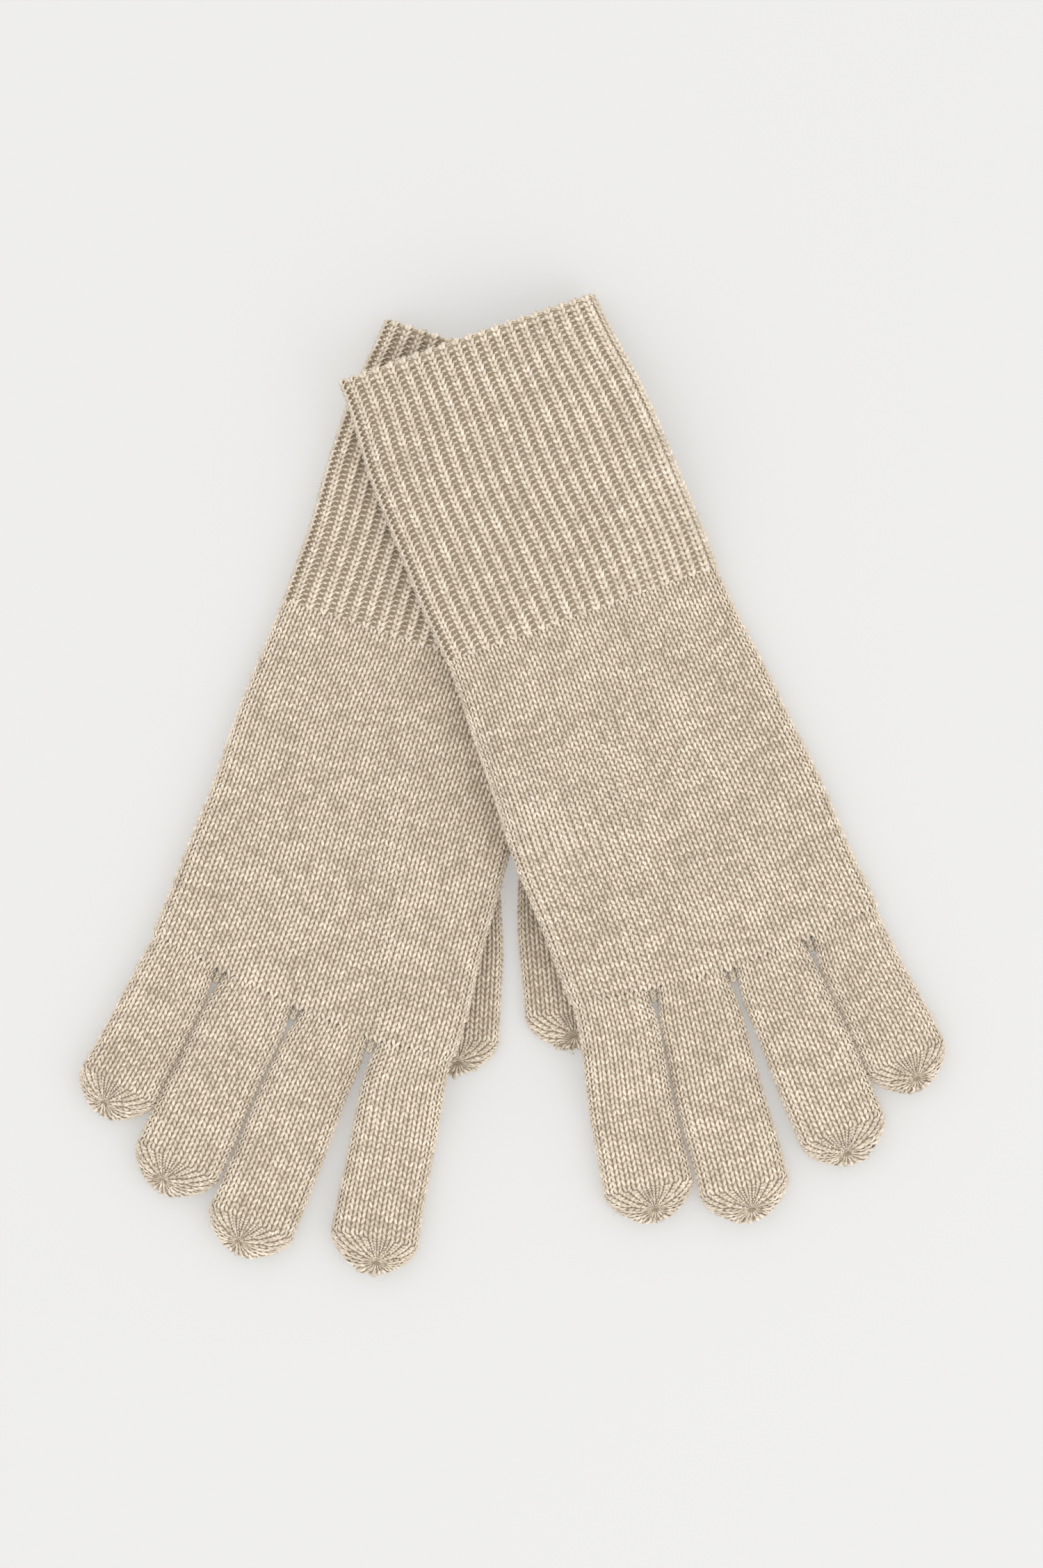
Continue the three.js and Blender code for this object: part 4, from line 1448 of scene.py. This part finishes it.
@dataclass
class Glove:
    """One whole glove, piece by piece."""

    form: GloveForm
    knitter: Knitter

    def pieces(self) -> list[Piece]:
        """Returns the glove's pieces, in the order in which they are knitted."""
        shared = (self.form, self.knitter)
        listed: list[Piece] = [CuffWelt(*shared), RibCuff(*shared), PlainHand(*shared)]
        for digit in [*self.form.fingers, self.form.thumb]:
            listed.append(DigitTube(*shared, digit=digit))
            listed.append(GatheredTip(*shared, digit=digit))
        listed.extend(CrotchJoin(*shared, index=i) for i in range(len(FINGER_NAMES) - 1))
        return listed

    def make(self) -> None:
        """Builds and dresses every piece."""
        for piece in self.pieces():
            piece.dress(piece.build())


# ---------------------------------------------------------------- the studio


@dataclass
class Studio:
    """A pale sweep under soft light, and a camera straight above."""

    floor_size: float = 3.0
    # The floor's colour is lowered and made up by its own glow: painted light that thins the shadows cast on it.
    floor_color: tuple[float, float, float] = (0.45, 0.4475, 0.441)
    floor_glow: float = 0.33
    glow_color: tuple[float, float, float] = (1.0, 0.995, 0.982)
    height: float = 1.6
    lens: float = 127.0
    middle: tuple[float, float] = (0.0029, 0.0002)
    sky: float = 1.06

    def build(self) -> None:
        """Makes the floor, the lights and the camera."""
        self.make_floor()
        self.make_lights()
        scene = bpy.context.scene
        camera = bpy.data.objects.new("Camera", bpy.data.cameras.new("Camera"))
        camera.data.lens = self.lens
        camera.data.sensor_width = 36.0
        camera.location = (*self.middle, self.height)
        scene.collection.objects.link(camera)
        scene.camera = camera
        scene.view_settings.view_transform = "Standard"

    def make_floor(self) -> None:
        """Makes the pale matt floor, which also glows evenly: painted light that makes the shadows on it fainter.
        """
        half = self.floor_size / 2
        mesh = bpy.data.meshes.new("Floor")
        corners = [(-half, -half, 0), (half, -half, 0), (half, half, 0), (-half, half, 0)]
        mesh.from_pydata(corners, [], [(0, 1, 2, 3)])
        floor = bpy.data.objects.new("Floor", mesh)
        bpy.context.scene.collection.objects.link(floor)
        matt = bpy.data.materials.new("Matt paper")
        matt.use_nodes = True
        shader = matt.node_tree.nodes["Principled BSDF"]
        shader.inputs["Base Color"].default_value = (*self.floor_color, 1)
        # Painted light: the floor glows, so the shadows cast on it come out fainter.
        shader.inputs["Emission Color"].default_value = (*self.glow_color, 1)
        shader.inputs["Emission Strength"].default_value = self.floor_glow
        shader.inputs["Roughness"].default_value = 0.9
        shader.inputs["Specular IOR Level"].default_value = 0.1
        mesh.materials.append(matt)

    def make_lights(self) -> None:
        """Makes an even sky and two large soft lights, the main one low on the right."""
        world = bpy.data.worlds.new("Studio")
        world.use_nodes = True
        background = world.node_tree.nodes["Background"]
        background.inputs["Color"].default_value = (1.0, 1.0, 1.0, 1.0)
        background.inputs["Strength"].default_value = self.sky
        bpy.context.scene.world = world
        for name, place, size, power in (
            ("Main light", (0.95, -0.75, 1.1), 1.1, 3.8),
            ("Fill light", (-0.7, 0.6, 1.6), 1.4, 2.0),
        ):
            light = bpy.data.lights.new(name, "AREA")
            light.size = size
            light.energy = power
            lamp = bpy.data.objects.new(name, light)
            lamp.location = place
            toward = np.array(place)
            flat = math.hypot(toward[0], toward[1])
            lamp.rotation_euler = (math.atan2(flat, toward[2]), 0, math.atan2(toward[0], -toward[1]))
            bpy.context.scene.collection.objects.link(lamp)


# ---------------------------------------------------------------- the pair


POSES = {
    Side.RIGHT: Pose(18.3, 0.4, -14.9, (-7.0, 4.8, 7.8, 9.9)),
    Side.LEFT: Pose(22.7, 3.0, -17.5, (-11.5, -8.8, -0.8, 1.7)),
}
THUMB_OFFSET = np.array([2.8, 10.6])

FINISHES = {
    "plain": YarnFinish("Oatmeal plain knit", (0.98, 0.875, 0.725), (0.62, 0.525, 0.405)),
    "rib": YarnFinish("Oatmeal rib", (0.98, 0.88, 0.735), (0.66, 0.565, 0.44)),
    "welt": YarnFinish("Oatmeal cast-on", (0.98, 0.88, 0.735), (0.66, 0.565, 0.44)),
    "tip": YarnFinish("Oatmeal gathered knit", (0.97, 0.87, 0.725), (0.61, 0.52, 0.405)),
    # The stitches between the fingers are coloured darker than the plain knit: painted shade in the crotches.
    "join": YarnFinish("Oatmeal closing stitches", (0.86, 0.75, 0.59), (0.50, 0.42, 0.31)),
}
# The lining is the same yarn coloured much darker: painted shade for the holes between stitches, the slits and the
# glove's inside.
SHADED_LINING = YarnFinish("Oatmeal inside", (0.44, 0.36, 0.26), (0.30, 0.24, 0.17), mottle=0.8, even=True)


def place_gloves() -> tuple[list[GloveForm], Array]:
    """Lays out both gloves.

    Returns:
        The two gloves' forms, and the shift that brings them to the frame's origin.
    """
    right = GloveForm(Side.RIGHT, POSES[Side.RIGHT])
    left = GloveForm(Side.LEFT, POSES[Side.LEFT])
    along = right.cuff.length + right.thumb_above
    right.place(np.array([-right.hand_half_width(along), along]), np.zeros(2))
    thumb = left.thumb
    left.place(thumb.root - thumb.beside * thumb.sizes.root_width / 2, THUMB_OFFSET)
    left.rests_on = right
    fold = next(j for j in frame["joints"] if j["name"] == "right_cuff_fold")
    wrist = right.flat(np.zeros(()), np.full((), right.cuff.length))
    shift = np.array([*(np.array(fold["pos_m"][:2]) / MM - wrist), 0.0])
    return [right, left], shift


def main() -> None:
    """Builds the studio and the pair of gloves."""
    logging.basicConfig(level=logging.INFO, format="%(name)s %(message)s")
    Studio().build()
    forms, shift = place_gloves()
    fibre = fibre_group()
    yarns = {name: finish.material(fibre) for name, finish in FINISHES.items()}
    knitter = Knitter(stitch_tree(), yarns, SHADED_LINING.material(fibre), shift)
    for form in forms:
        Glove(form, knitter).make()


if __name__ == "__main__":
    main()
